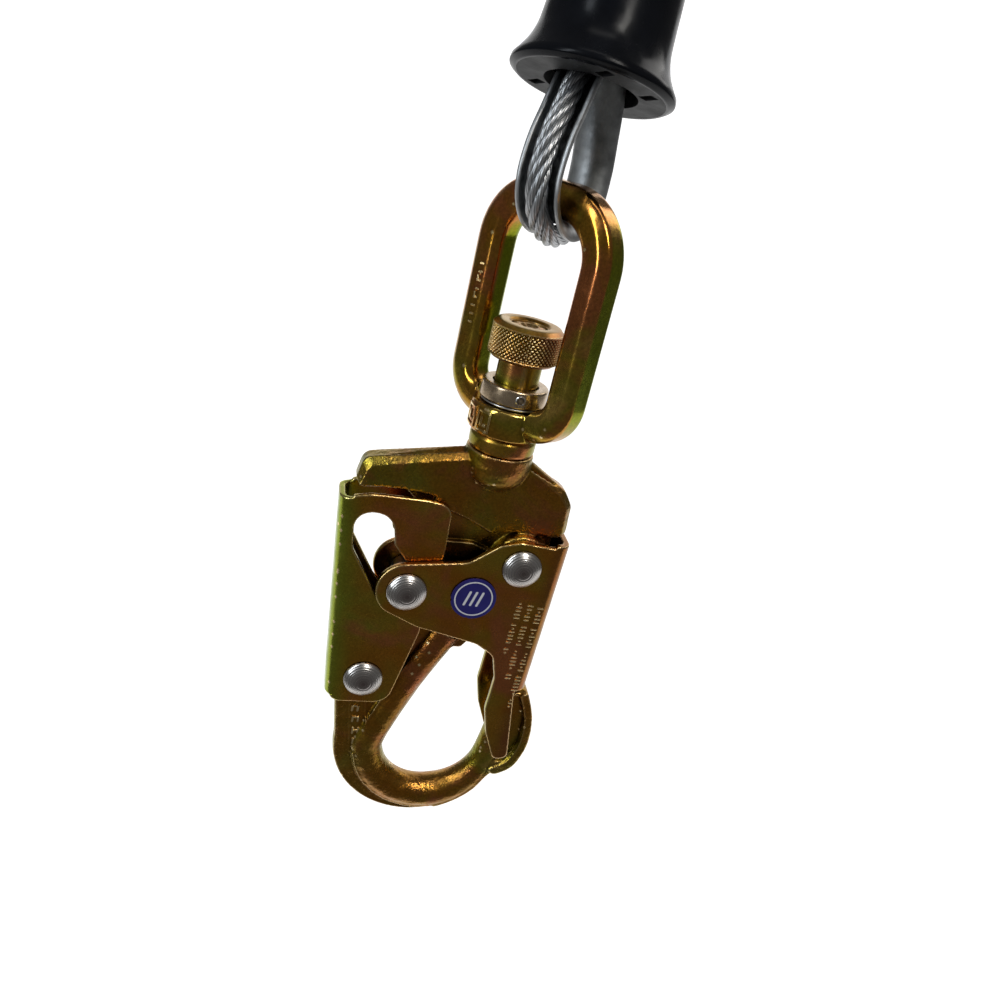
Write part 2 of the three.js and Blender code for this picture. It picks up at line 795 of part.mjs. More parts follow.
const outletGroup = new THREE.Group();
place(outletGroup, 'outlet_plate', outletPlate(), ZINC);
place(outletGroup, 'outlet_buffer', outletBuffer(), RUBBER);
place(outletGroup, 'outlet_nozzle', outletNozzle(), NYLON);
outletScrewPlaces().forEach(([x, y], i) => {
  place(outletGroup, `outlet_screw_${i + 1}`, outletScrew().translate([x, y, 0]), STAINLESS);
});
place(outletGroup, 'cable_free', sweep(circleSection(CABLE_R, 8), freeCablePath(), 30), GALVANISED);
lifelineHook.add(outletGroup);

const cableEnd = new THREE.Group();
cableEnd.position.copy(crown);
cableEnd.quaternion.setFromRotationMatrix(new THREE.Matrix4().makeBasis(across, along, axis));
place(cableEnd, 'cable_eye', cableEye(), GALVANISED);
place(cableEnd, 'thimble', thimble(), GALVANISED);
place(cableEnd, 'swage_ferrule', ferrule(), ALUMINIUM);
place(cableEnd, 'bumper_shell', bumperShell(), RUBBER);
place(cableEnd, 'bumper_insert', bumperInsert(), NYLON);
lifelineHook.add(cableEnd);

// the eye's top bar lies in the crown
const HANG = THIMBLE_R - GAP - EYE_BAR_R; // of the bar's middle below the centre of the crown
const datum = new THREE.Vector3(crown.x, crown.y, crown.z - HANG - EYE_TOP);

const eyeGroup = new THREE.Group();
eyeGroup.position.copy(datum);
eyeGroup.rotation.z = EYE_YAW * DEG;
place(eyeGroup, 'swivel_eye', swivelEye(), ZINC);
lifelineHook.add(eyeGroup);

const hookGroup = new THREE.Group();
hookGroup.position.copy(datum);
place(hookGroup, 'thrust_washer', thrustWasher(), STAINLESS);
place(hookGroup, 'indicator_collar', indicatorCollar(), ZINC);
place(hookGroup, 'indicator_pin_front', indicatorPinEnd(), STAINLESS);
place(hookGroup, 'indicator_pin_rear', indicatorPinEnd().mirror([0, 1, 0]), STAINLESS);
place(hookGroup, 'shear_pin_core', shearPinCore(), STAINLESS);
place(hookGroup, 'swivel_stud', swivelStud(), ZINC);
place(hookGroup, 'indicator_knob', indicatorKnob(), ZINC);
place(hookGroup, 'indicator_band', indicatorBand(), RED);
place(hookGroup, 'neck_ring', neckRing(), ZINC);
place(hookGroup, 'hook_body', hookBody(), ZINC);
place(hookGroup, 'gate_rivet', alongY(rivet(GATE_PLATE[1] + GAP, RIVET_R), GATE_PIVOT), STAINLESS);
place(hookGroup, 'gate_bush', bush(BOSS_HALF_T, GATE_PIVOT), STAINLESS);
place(hookGroup, 'gate_spring', spring(5.1, GATE_PIVOT), STAINLESS);
place(hookGroup, 'lever_rivet', alongY(rivet(LEVER_PLATE[1] + GAP, RIVET_R), LEVER_PIVOT), STAINLESS);
place(hookGroup, 'lever_bush', bush(PLATE_HALF_T, LEVER_PIVOT), STAINLESS);
place(hookGroup, 'lever_spring', spring(3.3, LEVER_PIVOT), STAINLESS);
place(hookGroup, 'lock_lever', lockLever(), ZINC);
place(hookGroup, 'gate_shell', gateShell(), ZINC);
place(hookGroup, 'lock_rivet', alongY(rivet(GATE_PLATE[1] + GAP, LOCK_RIVET_R), LOCK_PIN), STAINLESS);
place(hookGroup, 'lock_sleeve', lockSleeve(), STAINLESS);
place(hookGroup, 'inspection_label', inspectionLabel(), BLUE);
lifelineHook.add(hookGroup);

export default lifelineHook;
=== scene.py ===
# Looks of a lifeline's hook end: stranded cable eye, bumper, swivel eye and snap hook.
# Lengths in the drawing functions are millimetres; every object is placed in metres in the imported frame.
import json
import random
from math import acos, atan2, ceil, cos, degrees, exp, hypot, pi, radians, sin, tan

import bmesh
import bpy
import numpy as np
from mathutils import Matrix, Vector
from mathutils.geometry import tessellate_polygon


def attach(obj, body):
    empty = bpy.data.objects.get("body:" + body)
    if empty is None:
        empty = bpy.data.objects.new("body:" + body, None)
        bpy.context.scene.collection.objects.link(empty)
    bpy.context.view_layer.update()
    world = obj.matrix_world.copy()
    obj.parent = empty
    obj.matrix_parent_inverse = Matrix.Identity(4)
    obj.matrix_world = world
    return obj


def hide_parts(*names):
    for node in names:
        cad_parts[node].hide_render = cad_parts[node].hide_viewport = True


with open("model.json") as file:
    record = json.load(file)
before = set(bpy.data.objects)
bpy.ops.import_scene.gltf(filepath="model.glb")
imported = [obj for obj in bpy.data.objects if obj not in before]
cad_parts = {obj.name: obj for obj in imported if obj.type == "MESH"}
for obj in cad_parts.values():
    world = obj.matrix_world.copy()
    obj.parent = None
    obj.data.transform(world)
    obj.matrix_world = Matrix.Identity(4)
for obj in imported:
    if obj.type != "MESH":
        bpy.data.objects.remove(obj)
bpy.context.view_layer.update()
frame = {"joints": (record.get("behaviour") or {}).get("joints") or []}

MM = 0.001
TAU = 2 * pi
JOINT = {j["name"]: j for j in frame["joints"]}
CROWN = Vector(JOINT["eye_swing"]["pos_m"])  # centre of the thimble's crown
DATUM = Vector(JOINT["swivel"]["pos_m"])  # the hook's datum, on the swivel's axis
CABLE = Vector(JOINT["bumper_slide"]["axis"]).normalized()
ACROSS = Vector(JOINT["eye_swing"]["axis"])
ACROSS = (ACROSS - CABLE * ACROSS.dot(CABLE)).normalized()
ALONG = CABLE.cross(ACROSS)
EYE_YAW = radians(-55.5)


def in_hook(point):
    """A point in metres as X and Z of the hook's middle plane, in millimetres."""
    p = (Vector(point) - DATUM) / MM
    return p.x, p.z


GATE_PIVOT = in_hook(JOINT["gate_open"]["pos_m"])
LEVER_PIVOT = in_hook(JOINT["lever_squeeze"]["pos_m"])
LOCK_PIN = (-17.4, -42.6)
LEVER_FOLD = ((-37.9, -18.9), (-33.1, -80.2))
GATE_FOLD = ((23.1, -24.4), (21.6, -70))
GATE_GRIP, LEVER_GRIP, DOME = 8.3, 6.2, 2.4  # half lengths under the rivets' heads, and the heads' height

SCALE = Matrix.Diagonal((MM, MM, MM, 1))
HOOK = Matrix.Translation(DATUM) @ SCALE
EYE = Matrix.Translation(DATUM) @ Matrix.Rotation(EYE_YAW, 4, "Z") @ SCALE
LOOP = Matrix.Translation(CROWN) @ Matrix((ACROSS, ALONG, CABLE)).transposed().to_4x4() @ SCALE
OUTLET = SCALE
FACING = Matrix.Rotation(radians(90), 4, "X")  # turned pieces whose axis runs along Y


def crosswise(x, z):
    """The place of a piece turned about a line along Y, through a point of the hook's middle plane."""
    return HOOK @ Matrix.Translation((x, 0, z)) @ FACING


# ---- camera ----
VIEW_TURN, VIEW_DOWN, VIEW_ROLL = (radians(a) for a in (-15.5, 23.2, 13.8))
VIEW_AHEAD = Vector((-sin(VIEW_TURN), cos(VIEW_TURN), 0))
VIEW_RIGHT = Vector((cos(VIEW_TURN), sin(VIEW_TURN), 0))
VIEW_LENS = 32.4


def camera():
    """At the reference angle: turned 15.5 degrees, looking down 23.2, rolled 13.8."""
    up = Vector((0, 0, 1))
    look = VIEW_AHEAD * cos(VIEW_DOWN) - up * sin(VIEW_DOWN)
    above = VIEW_AHEAD * sin(VIEW_DOWN) + up * cos(VIEW_DOWN)
    x = VIEW_RIGHT * cos(VIEW_ROLL) + above * sin(VIEW_ROLL)
    y = above * cos(VIEW_ROLL) - VIEW_RIGHT * sin(VIEW_ROLL)
    data = bpy.data.cameras.new("camera")
    data.lens = VIEW_LENS
    data.clip_start, data.clip_end = 0.01, 50
    cam = bpy.data.objects.new("camera", data)
    cam.matrix_world = Matrix((x, y, -look)).transposed().to_4x4()
    cam.location = DATUM + Vector((-53.98, -205.97, 74.41)) * MM
    bpy.context.scene.collection.objects.link(cam)
    bpy.context.scene.camera = cam


camera()


# ---- node materials ----
class Paint:
    """A node tree with short ways to add nodes and to join them."""

    def __init__(self, name, **constants):
        self.material = bpy.data.materials.new(name)
        self.material.use_nodes = True
        self.tree = self.material.node_tree
        self.surface = self.tree.nodes["Principled BSDF"]
        self.where = self.add("ShaderNodeTexCoord").outputs["Object"]
        for key, value in constants.items():
            self.surface.inputs[key.replace("_", " ")].default_value = value

    def add(self, kind, **settings):
        node = self.tree.nodes.new(kind)
        for key, value in settings.items():
            setattr(node, key, value)
        return node

    def feed(self, node, socket, value):
        """A link where value is an output, and a constant otherwise."""
        if isinstance(value, bpy.types.NodeSocket):
            self.tree.links.new(value, node.inputs[socket])
        else:
            node.inputs[socket].default_value = value

    def set(self, socket, value):
        self.feed(self.surface, socket, value)

    def noise(self, scale, detail=3.0, where=None, rough=0.5, swirl=0.0):
        node = self.add("ShaderNodeTexNoise")
        self.feed(node, "Vector", where or self.where)
        node.inputs["Scale"].default_value = scale
        node.inputs["Detail"].default_value = detail
        node.inputs["Roughness"].default_value = rough
        node.inputs["Distortion"].default_value = swirl
        return node.outputs["Fac"]

    def ramp(self, value, stops):
        """stops: (position, colour or grey) pairs."""
        node = self.add("ShaderNodeValToRGB")
        elements = node.color_ramp.elements
        while len(elements) < len(stops):
            elements.new(0.5)
        for element, (position, colour) in zip(elements, stops):
            element.position = position
            grey = isinstance(colour, (int, float))
            element.color = (colour, colour, colour, 1) if grey else (*colour, 1)
        self.feed(node, "Fac", value)
        return node.outputs["Color"]

    def mix(self, factor, a, b, blend="MIX"):
        node = self.add("ShaderNodeMix", data_type="RGBA", blend_type=blend)
        self.feed(node, 0, factor)
        for socket, value in ((6, a), (7, b)):
            plain = isinstance(value, tuple) and len(value) == 3
            self.feed(node, socket, (*value, 1) if plain else value)
        return node.outputs[2]

    def maths(self, operation, a, b=0.0):
        node = self.add("ShaderNodeMath", operation=operation)
        self.feed(node, 0, a)
        self.feed(node, 1, b)
        return node.outputs[0]

    def bump(self, height, strength, distance, under=None):
        node = self.add("ShaderNodeBump")
        self.feed(node, "Height", height)
        node.inputs["Strength"].default_value = strength
        node.inputs["Distance"].default_value = distance
        if under:
            self.feed(node, "Normal", under)
        return node.outputs["Normal"]

    def normal_part(self, axis):
        """One part of the surface's direction in the object's own frame."""
        split = self.add("ShaderNodeSeparateXYZ")
        self.feed(split, 0, self.add("ShaderNodeTexCoord").outputs["Normal"])
        return split.outputs[axis]

    def crease_shade(self, colour, low=0.455, high=0.498, depth=0.18):
        """Painted shade: the colour darkened in creases."""
        found = self.add("ShaderNodeNewGeometry").outputs["Pointiness"]
        return self.mix(1.0, colour, self.ramp(found, [(low, depth), (high, 1)]), "MULTIPLY")

    def near(self, points):
        """Distance to the nearest of some points of the hook's frame."""
        least = None
        for point in points:
            node = self.add("ShaderNodeVectorMath", operation="DISTANCE")
            self.feed(node, 0, self.where)
            node.inputs[1].default_value = HOOK @ Vector(point)
            away = node.outputs["Value"]
            least = self.maths("MINIMUM", least, away) if least else away
        return least

    def beside(self, ends):
        """Distance from a line in the hook's middle plane, through two of its points."""
        start, end = (HOOK @ Vector((x, 0, z)) for x, z in ends)
        along = (end - start).normalized()
        off = self.add("ShaderNodeVectorMath", operation="SUBTRACT")
        self.feed(off, 0, self.where)
        off.inputs[1].default_value = start
        dot = self.add("ShaderNodeVectorMath", operation="DOT_PRODUCT")
        self.feed(dot, 0, off.outputs["Vector"])
        dot.inputs[1].default_value = (-along.z, 0, along.x)
        return self.maths("ABSOLUTE", dot.outputs["Value"])

    def edges(self, low, high):
        """1 on outward edges, 0 elsewhere."""
        return self.ramp(self.add("ShaderNodeNewGeometry").outputs["Pointiness"], [(low, 0), (high, 1)])


BROWN = (0.40, 0.155, 0.018)
OLIVE = (0.38, 0.205, 0.025)
MOSS = (0.31, 0.25, 0.03)
GREEN = (0.20, 0.26, 0.008)
GOLD = (0.56, 0.36, 0.09)
ROSE = (0.46, 0.15, 0.055)
# colour of worn edges together with their painted highlight
WORN_EDGE_GLINT = (0.85, 0.66, 0.34)


def zinc(name, seed, rough=0.3, grain=0.12, grain_scale=1500, green=(0.5, 0.95, 0.6), one_side=False, warm=0.5,
         tone=1.0, pocket_shade_points=None, folded=None):
    """Yellow chromate on zinc: patches of brown, olive, green and rose over metal, with painted light added: a green
    sheen on sideways faces, a gold highlight on upward faces, a highlight on worn edges, and shade in creases, along
    the gate's fold and round given points.
    """
    p = Paint(name, Metallic=1.0)
    shift = p.add("ShaderNodeMapping")
    p.feed(shift, "Vector", p.where)
    shift.inputs["Location"].default_value = (seed * 0.37, seed * 0.11, seed * 0.53)
    at = shift.outputs["Vector"]
    wide = p.noise(42, 3, at, 0.55, 0.6)
    patches = p.ramp(wide, [(0.36, BROWN), (0.50 + 0.1 * (warm - 0.5), OLIVE), (0.64, MOSS), (0.76, GOLD)])
    rose = p.ramp(p.noise(60, 3, at, 0.55, 0.6), [(0.50, 0), (0.64, 0.85)])
    colour = p.mix(rose, patches, ROSE)
    # Painted sheen: faces turned sideways, only one way where one_side is set, get a green tint that stands in for
    # the plating's iridescence
    side = p.normal_part("X")
    if not one_side:
        side = p.maths("ABSOLUTE", side)
    colour = p.mix(p.ramp(side, [(green[0], 0), (green[1], green[2])]), colour, GREEN)
    # Painted highlight: faces turned up are tinted gold
    top_highlight = p.ramp(p.normal_part("Z"), [(0.35, 0), (0.95, 0.35)])
    colour = p.mix(top_highlight, colour, GOLD)
    # A tinted band along a fold line: on the gate a dark brown that is painted shade in the bend, on the lever a
    # green
    if folded:
        line, tint, reach = folded
        uneven = p.maths("ADD", p.beside(line), p.maths("MULTIPLY", p.noise(70, 2, at), 0.004))
        colour = p.mix(p.ramp(uneven, [(0.003, 0.85), (0.003 + reach, 0)]), colour, tint)
    fine = p.noise(grain_scale, 4, at, 0.6)
    speckle = p.ramp(fine, [(0.3, 0.72 * tone), (0.7, 1.2 * tone)])
    colour = p.mix(1.0, colour, speckle, "MULTIPLY")
    # edges lightened: edge wear with a painted highlight
    colour = p.mix(p.edges(0.515, 0.58), colour, WORN_EDGE_GLINT)
    # Painted shade: darker close to the given points, in the hook's pocket
    if pocket_shade_points:
        colour = p.mix(1.0, colour, p.ramp(p.near(pocket_shade_points), [(0.0035, 0.06), (0.008, 1)]), "MULTIPLY")
    # painted shade in creases
    p.set("Base Color", p.crease_shade(colour))
    smear = p.noise(160, 3, at, 0.6)
    p.set("Roughness", p.ramp(smear, [(0.25, max(rough - 0.08, 0.05)), (0.8, rough + 0.14)]))
    coarse = p.noise(330, 3, at, 0.55)
    under = p.bump(coarse, 0.25 * grain / 0.12, 0.00025)
    p.set("Normal", p.bump(fine, grain, 0.00012, under))
    return p.material


def shades(colour, by):
    """The colour darkened and lightened by a share."""
    return tuple(c * (1 - by) for c in colour), tuple(min(c * (1 + by), 1) for c in colour)


def steel(name, colour, rough, mottle=0.2, scale=900, edge=0.75, grain=0.08):
    """Bare or galvanised steel with mottling, a fine grain, worn edges with a painted highlight, and painted shade
    in creases.
    """
    p = Paint(name, Metallic=1.0)
    dark, bright = shades(colour, mottle)
    blotch = p.ramp(p.noise(180, 4, None, 0.6), [(0.3, dark), (0.7, bright)])
    # brighter edges: edge wear with a painted highlight; painted shade in creases
    p.set("Base Color", p.crease_shade(p.mix(p.edges(0.52, 0.6), blotch, (edge, edge, edge))))
    fine = p.noise(scale, 4, None, 0.6)
    p.set("Roughness", p.ramp(fine, [(0.25, max(rough - 0.1, 0.04)), (0.8, rough + 0.1)]))
    p.set("Normal", p.bump(fine, grain, 0.0001))
    return p.material


def spun_steel(name, colour, rough, middles):
    """Bare steel with turning marks round each middle, and a darker disc there."""
    p = Paint(name, Metallic=1.0)
    out = p.near(middles)
    drift = p.maths("MULTIPLY", p.noise(500, 2), 2.5)
    rings = p.maths("SINE", p.maths("ADD", p.maths("MULTIPLY", out, 9000), drift))
    streaks = p.ramp(rings, [(0.0, 0.93), (1.0, 1.04)])
    disc = p.ramp(out, [(0.0019, (0.42, 0.35, 0.35)), (0.0024, (1, 1, 1))])
    p.set("Base Color", p.mix(1.0, p.mix(1.0, colour, streaks, "MULTIPLY"), disc, "MULTIPLY"))
    p.set("Roughness", p.ramp(rings, [(0.0, rough), (1.0, rough + 0.05)]))
    p.set("Normal", p.bump(rings, 0.02, 0.00005))
    return p.material


def moulded(name, colour, rough, grain=0.06, scale=1600, mottle=0.3, shine=0.5):
    """Moulded rubber or plastic with a fine grain and faint flow marks."""
    p = Paint(name, Metallic=0.0, Specular_IOR_Level=shine)
    dark, bright = shades(colour, mottle)
    p.set("Base Color", p.ramp(p.noise(90, 4, None, 0.6), [(0.3, dark), (0.7, bright)]))
    fine = p.noise(scale, 3, None, 0.55)
    p.set("Roughness", p.ramp(p.noise(240, 4), [(0.3, max(rough - 0.06, 0.05)), (0.75, rough + 0.1)]))
    p.set("Normal", p.bump(fine, grain, 0.0001))
    return p.material


MATERIAL = {
    # the forging's pocket gets painted shade round two points
    "forging": zinc("forged_zinc", 1, rough=0.26, grain=0.75, grain_scale=1700, warm=0.95, tone=0.8,
                    pocket_shade_points=[(-7, -2.5, -32), (-1, -2.5, -33)]),
    "eye": zinc("eye_zinc", 2, rough=0.16, grain=0.07, green=(0.40, 0.56, 0.9), one_side=True, warm=0.9),
    "lever": zinc("lever_zinc", 3, rough=0.24, grain=0.07, grain_scale=2600, warm=0.9,
                  folded=(LEVER_FOLD, (0.27, 0.37, 0.035), 0.006)),
    # the gate's dark brown fold band is painted shade
    "gate": zinc("gate_zinc", 4, rough=0.22, grain=0.06, grain_scale=2600, warm=0.6,
                 folded=(GATE_FOLD, (0.24, 0.09, 0.03), 0.005)),
    "turned": zinc("turned_zinc", 5, rough=0.25, grain=0.06, warm=0.45),
    "knob": zinc("knob_zinc", 7, rough=0.34, grain=0.05, warm=0.9, tone=0.8),
    "collar": steel("collar_champagne", (0.46, 0.35, 0.23), 0.27, 0.14, 800, edge=0.62, grain=0.04),
    "rivet": spun_steel("stainless_spun", (0.47, 0.45, 0.43), 0.24,
                        [(x, side * (grip + DOME), z) for side in (1, -1) for (x, z), grip in
                         ((GATE_PIVOT, GATE_GRIP), (LEVER_PIVOT, LEVER_GRIP), (LOCK_PIN, GATE_GRIP))]),
    "hidden_steel": steel("stainless_plain", (0.5, 0.5, 0.5), 0.35, 0.15),
    "wire": steel("galvanised_wire", (0.36, 0.37, 0.38), 0.40, 0.3, 1400, edge=0.55),
    "thimble": steel("galvanised_sheet", (0.27, 0.28, 0.285), 0.48, 0.4, 700, edge=0.6, grain=0.35),
    "alloy": steel("pressed_alloy", (0.62, 0.63, 0.65), 0.4, 0.15),
    "outlet": steel("plain_zinc", (0.45, 0.46, 0.47), 0.34, 0.25, 800),
    "bumper": moulded("bumper_gloss", (0.004, 0.0045, 0.006), 0.20, 0.04, 1200, shine=0.08),
    "bumper_face": moulded("bumper_matt", (0.012, 0.0125, 0.013), 0.6, 0.25, 1500, shine=0.3),
    "nylon": moulded("nylon_dark", (0.016, 0.016, 0.018), 0.45, 0.12, 1800),
    "buffer": moulded("buffer_rubber", (0.02, 0.02, 0.021), 0.7, 0.3, 1400),
    "band": moulded("red_paint", (0.42, 0.012, 0.012), 0.35, 0.05),
    "label": moulded("blue_vinyl", (0.012, 0.010, 0.11), 0.35, 0.05, 900),
    "print": moulded("white_print", (0.55, 0.55, 0.57), 0.5, 0.03, 900, mottle=0.06),
}


# ---- drawing ----
def polar(r, a):
    return r * cos(a), r * sin(a)


def curved(points, step):
    """A smooth line through points of a profile."""
    return [(p.x, p.y) for p in smooth_path([Vector((x, y, 0)) for x, y in points], step)]


def rounded(corners, step=10):
    """A closed outline from corners (x, y, radius), each turned into an arc."""
    points, count = [], len(corners)
    for i, corner in enumerate(corners):
        x, y, r = (*corner, 0)[:3]
        here = np.array((x, y), float)
        a = np.array(corners[i - 1][:2], float) - here
        b = np.array(corners[(i + 1) % count][:2], float) - here
        la, lb = np.hypot(*a), np.hypot(*b)
        half = acos(max(-1.0, min(1.0, float(a @ b) / (la * lb)))) / 2
        if r == 0 or half > 1.53:
            points.append((x, y))
            continue
        reach = min(r / tan(half), 0.49 * la, 0.49 * lb)
        radius = reach * tan(half)
        start, end = here + a / la * reach, here + b / lb * reach
        middle = a / la + b / lb
        centre = here + middle / np.hypot(*middle) * (radius / sin(half))
        a0 = atan2(*(start - centre)[::-1])
        turn = (atan2(*(end - centre)[::-1]) - a0 + pi) % TAU - pi
        steps = max(2, ceil(abs(degrees(turn)) / step))
        for k in range(steps + 1):
            t = a0 + turn * k / steps
            points.append((centre[0] + radius * cos(t), centre[1] + radius * sin(t)))
    return points


def block(x0, x1, y0, y1, r):
    """The outline of a rectangle with rounded corners."""
    return rounded([(x0, y0, r), (x1, y0, r), (x1, y1, r), (x0, y1, r)], 30)


def arc(centre, r, start, end, count):
    angles = (radians(start + (end - start) * i / count) for i in range(count + 1))
    return [(centre[0] + r * cos(a), centre[1] + r * sin(a)) for a in angles]


def circle(centre, r, count=40):
    return arc(centre, r, 0, 360 - 360 / count, count - 1)


def grown(outline, by):
    """An outline moved outwards along its own directions, or inwards where by is negative."""
    p = np.array(outline, float)
    ahead = np.roll(p, -1, 0) - p
    ahead /= np.maximum(np.hypot(ahead[:, 0], ahead[:, 1]), 1e-9)[:, None]
    side = np.stack((ahead[:, 1], -ahead[:, 0]), 1)
    both = side + np.roll(side, 1, 0)
    both /= np.maximum(np.hypot(both[:, 0], both[:, 1]), 0.4)[:, None]
    turn = np.sign(np.sum(p[:, 0] * np.roll(p[:, 1], -1) - np.roll(p[:, 0], -1) * p[:, 1]))
    return [tuple(q) for q in p + both * by * turn]


def smooth_path(points, step):
    """A Catmull-Rom curve through the points, as points about one step apart."""
    p = [Vector(q) for q in points]
    p = [p[0] * 2 - p[1], *p, p[-1] * 2 - p[-2]]
    fine = []
    for a, b, c, d in zip(p, p[1:], p[2:], p[3:]):
        t = [0.0]
        for u, v in ((a, b), (b, c), (c, d)):
            t.append(t[-1] + max((v - u).length, 1e-6) ** 0.5)
        for k in range(24):
            s = t[1] + (t[2] - t[1]) * k / 24
            a1 = a.lerp(b, (s - t[0]) / (t[1] - t[0]))
            a2 = b.lerp(c, (s - t[1]) / (t[2] - t[1]))
            a3 = c.lerp(d, (s - t[2]) / (t[3] - t[2]))
            b1 = a1.lerp(a2, (s - t[0]) / (t[2] - t[0]))
            b2 = a2.lerp(a3, (s - t[1]) / (t[3] - t[1]))
            fine.append(b1.lerp(b2, (s - t[1]) / (t[2] - t[1])))
    fine.append(p[-2].copy())
    return even(fine, step)


def even(points, step):
    """The same line with points the same distance apart."""
    q = np.array([tuple(v) for v in points])
    gone = np.concatenate(([0], np.cumsum(np.linalg.norm(np.diff(q, axis=0), axis=1))))
    at = np.linspace(0, gone[-1], max(2, round(gone[-1] / step) + 1))
    return [Vector(v) for v in np.stack([np.interp(at, gone, q[:, k]) for k in range(3)], 1)]


def frames(path, side):
    """Directions across a path that turn no more than they must. The first starts from side."""
    out = []
    for i, here in enumerate(path):
        ahead = (path[min(i + 1, len(path) - 1)] - path[max(i - 1, 0)]).normalized()
        side = (side - ahead * side.dot(ahead)).normalized()
        out.append((here, side, ahead.cross(side)))
    return out


def mesh_piece(name, verts, faces, place, material):
    """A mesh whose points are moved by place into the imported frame."""
    mesh = bpy.data.meshes.new(name)
    mesh.from_pydata([tuple(place @ Vector(v)) for v in verts], [], faces)
    piece = bpy.data.objects.new(name, mesh)
    bpy.context.scene.collection.objects.link(piece)
    outwards(mesh)
    mesh.materials.append(MATERIAL[material])
    mesh.polygons.foreach_set("use_smooth", [True] * len(mesh.polygons))
    return piece


def outwards(mesh):
    b = bmesh.new()
    b.from_mesh(mesh)
    bmesh.ops.remove_doubles(b, verts=b.verts, dist=1e-7)
    bmesh.ops.recalc_face_normals(b, faces=b.faces)
    b.to_mesh(mesh)
    b.free()


def applied(piece):
    """The piece with its modifiers made part of its mesh."""
    bpy.context.view_layer.update()
    seen = piece.evaluated_get(bpy.context.evaluated_depsgraph_get())
    mesh = bpy.data.meshes.new_from_object(seen)
    piece.modifiers.clear()
    piece.data = mesh
    return piece


def modifier(piece, kind, **settings):
    added = piece.modifiers.new(kind.lower(), kind)
    for key, value in settings.items():
        setattr(added, key, value)


def crisp(piece, angle=35):
    """Smooth shading that keeps the edges sharper than the angle."""
    piece.data.set_sharp_from_angle(angle=radians(angle))
    return piece


def band(a, b, n):
    """The faces between two rings of n points that start at a and b."""
    return [(a + k, a + (k + 1) % n, b + (k + 1) % n, b + k) for k in range(n)]


def tube(section, path, side, twist=None):
    """Points and faces of a section (x across, y up) carried along a path, with capped ends."""
    verts, faces, n = [], [], len(section)
    for i, (here, x, y) in enumerate(frames(path, side)):
        turn = twist[i] if twist else 0.0
        c, s = cos(turn), sin(turn)
        verts += [here + x * (u * c - v * s) + y * (u * s + v * c) for u, v in section]
    last = (len(path) - 1) * n
    for a in range(0, last, n):
        faces += band(a, a + n, n)
    faces += [tuple(range(n))[::-1], tuple(range(last, last + n))]
    return verts, faces


def lofted(rings):
    """A solid through sections. Its first two faces are the caps."""
    n = len(rings[0])
    verts = [v for ring in rings for v in ring]
    faces = [tuple(range(n)), tuple(range(len(verts) - n, len(verts)))[::-1]]
    for i in range(len(rings) - 1):
        faces += band(i * n, (i + 1) * n, n)
    return verts, faces


def turned(profile, segments=96, place=Matrix()):
    """A piece turned about Z from a closed profile of (radius, height)."""
    verts, faces, n = [], [], len(profile)
    for i in range(segments):
        a = TAU * i / segments
        verts += [place @ Vector((*polar(r, a), z)) for r, z in profile]
    for i in range(segments):
        a, b = i * n, ((i + 1) % segments) * n
        for k in range(n):
            m = (k + 1) % n
            if profile[k][0] == 0 and profile[m][0] == 0:
                continue
            faces.append((a + k, b + k, b + m, a + m))
    return verts, faces


def slab(loops, y0, y1):
    """An outline with holes, drawn in X and Z, from one Y to another."""
    flat = [[Vector((x, 0, z)) for x, z in loop] for loop in loops]
    caps = tessellate_polygon(flat)
    points = [v for loop in flat for v in loop]
    count = len(points)
    verts = [(v.x, y0, v.z) for v in points] + [(v.x, y1, v.z) for v in points]
    faces = [tuple(f) for f in caps] + [tuple(i + count for i in f[::-1]) for f in caps]
    start = 0
    for loop in loops:
        faces += band(start, start + count, len(loop))
        start += len(loop)
    return verts, faces


def merged(*solids):
    verts, faces = [], []
    for v, f in solids:
        start = len(verts)
        verts += list(v)
        faces += [tuple(i + start for i in face) for face in f]
    return verts, faces


def forged(name, solids, place, material, voxel=0.3, rounds=8):
    """Overlapping solids melted into one skin with soft edges and fillets."""
    parts = []
    for i, (verts, faces) in enumerate(solids):
        parts.append(mesh_piece(f"{name}_{i}", verts, faces, place, material))
    base = parts[0]
    joined = bmesh.new()
    for part in parts:
        joined.from_mesh(part.data)
    joined.to_mesh(base.data)
    joined.free()
    for part in parts[1:]:
        bpy.data.objects.remove(part)
    base.name = name
    modifier(base, "REMESH", mode="VOXEL", voxel_size=voxel * MM)
    modifier(base, "SMOOTH", factor=0.5, iterations=rounds)
    applied(base)
    base.data.polygons.foreach_set("use_smooth", [True] * len(base.data.polygons))
    return base


def finished(piece, body, slot, *nodes):
    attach(piece, body)
    if nodes:
        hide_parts(*nodes)


def made(name, shape, place, material, body, slot, *nodes, angle=35):
    """A crisp piece from a shape's points and faces."""
    finished(crisp(mesh_piece(name, *shape, place, material), angle), body, slot, *nodes)


# ---- wire rope ----
STRANDS = 6
STRAND_R = 0.87
STRAND_AT = 1.62  # of each strand's middle from the rope's
ROPE_LAY, WIRE_LAY = 27.0, 17.0
WIRES = 9
FERRULE = (34, 56)
CABLE_BREAK = 58
LEG_OFFSET = 2.65
ROPE_STEP = 0.6
LOOP_R = 12.2
LEG = [(LOOP_R, 0), (LOOP_R - 0.5, 6), (LOOP_R - 2.4, 12.5), (7.8, 19), (4.8, 26)]


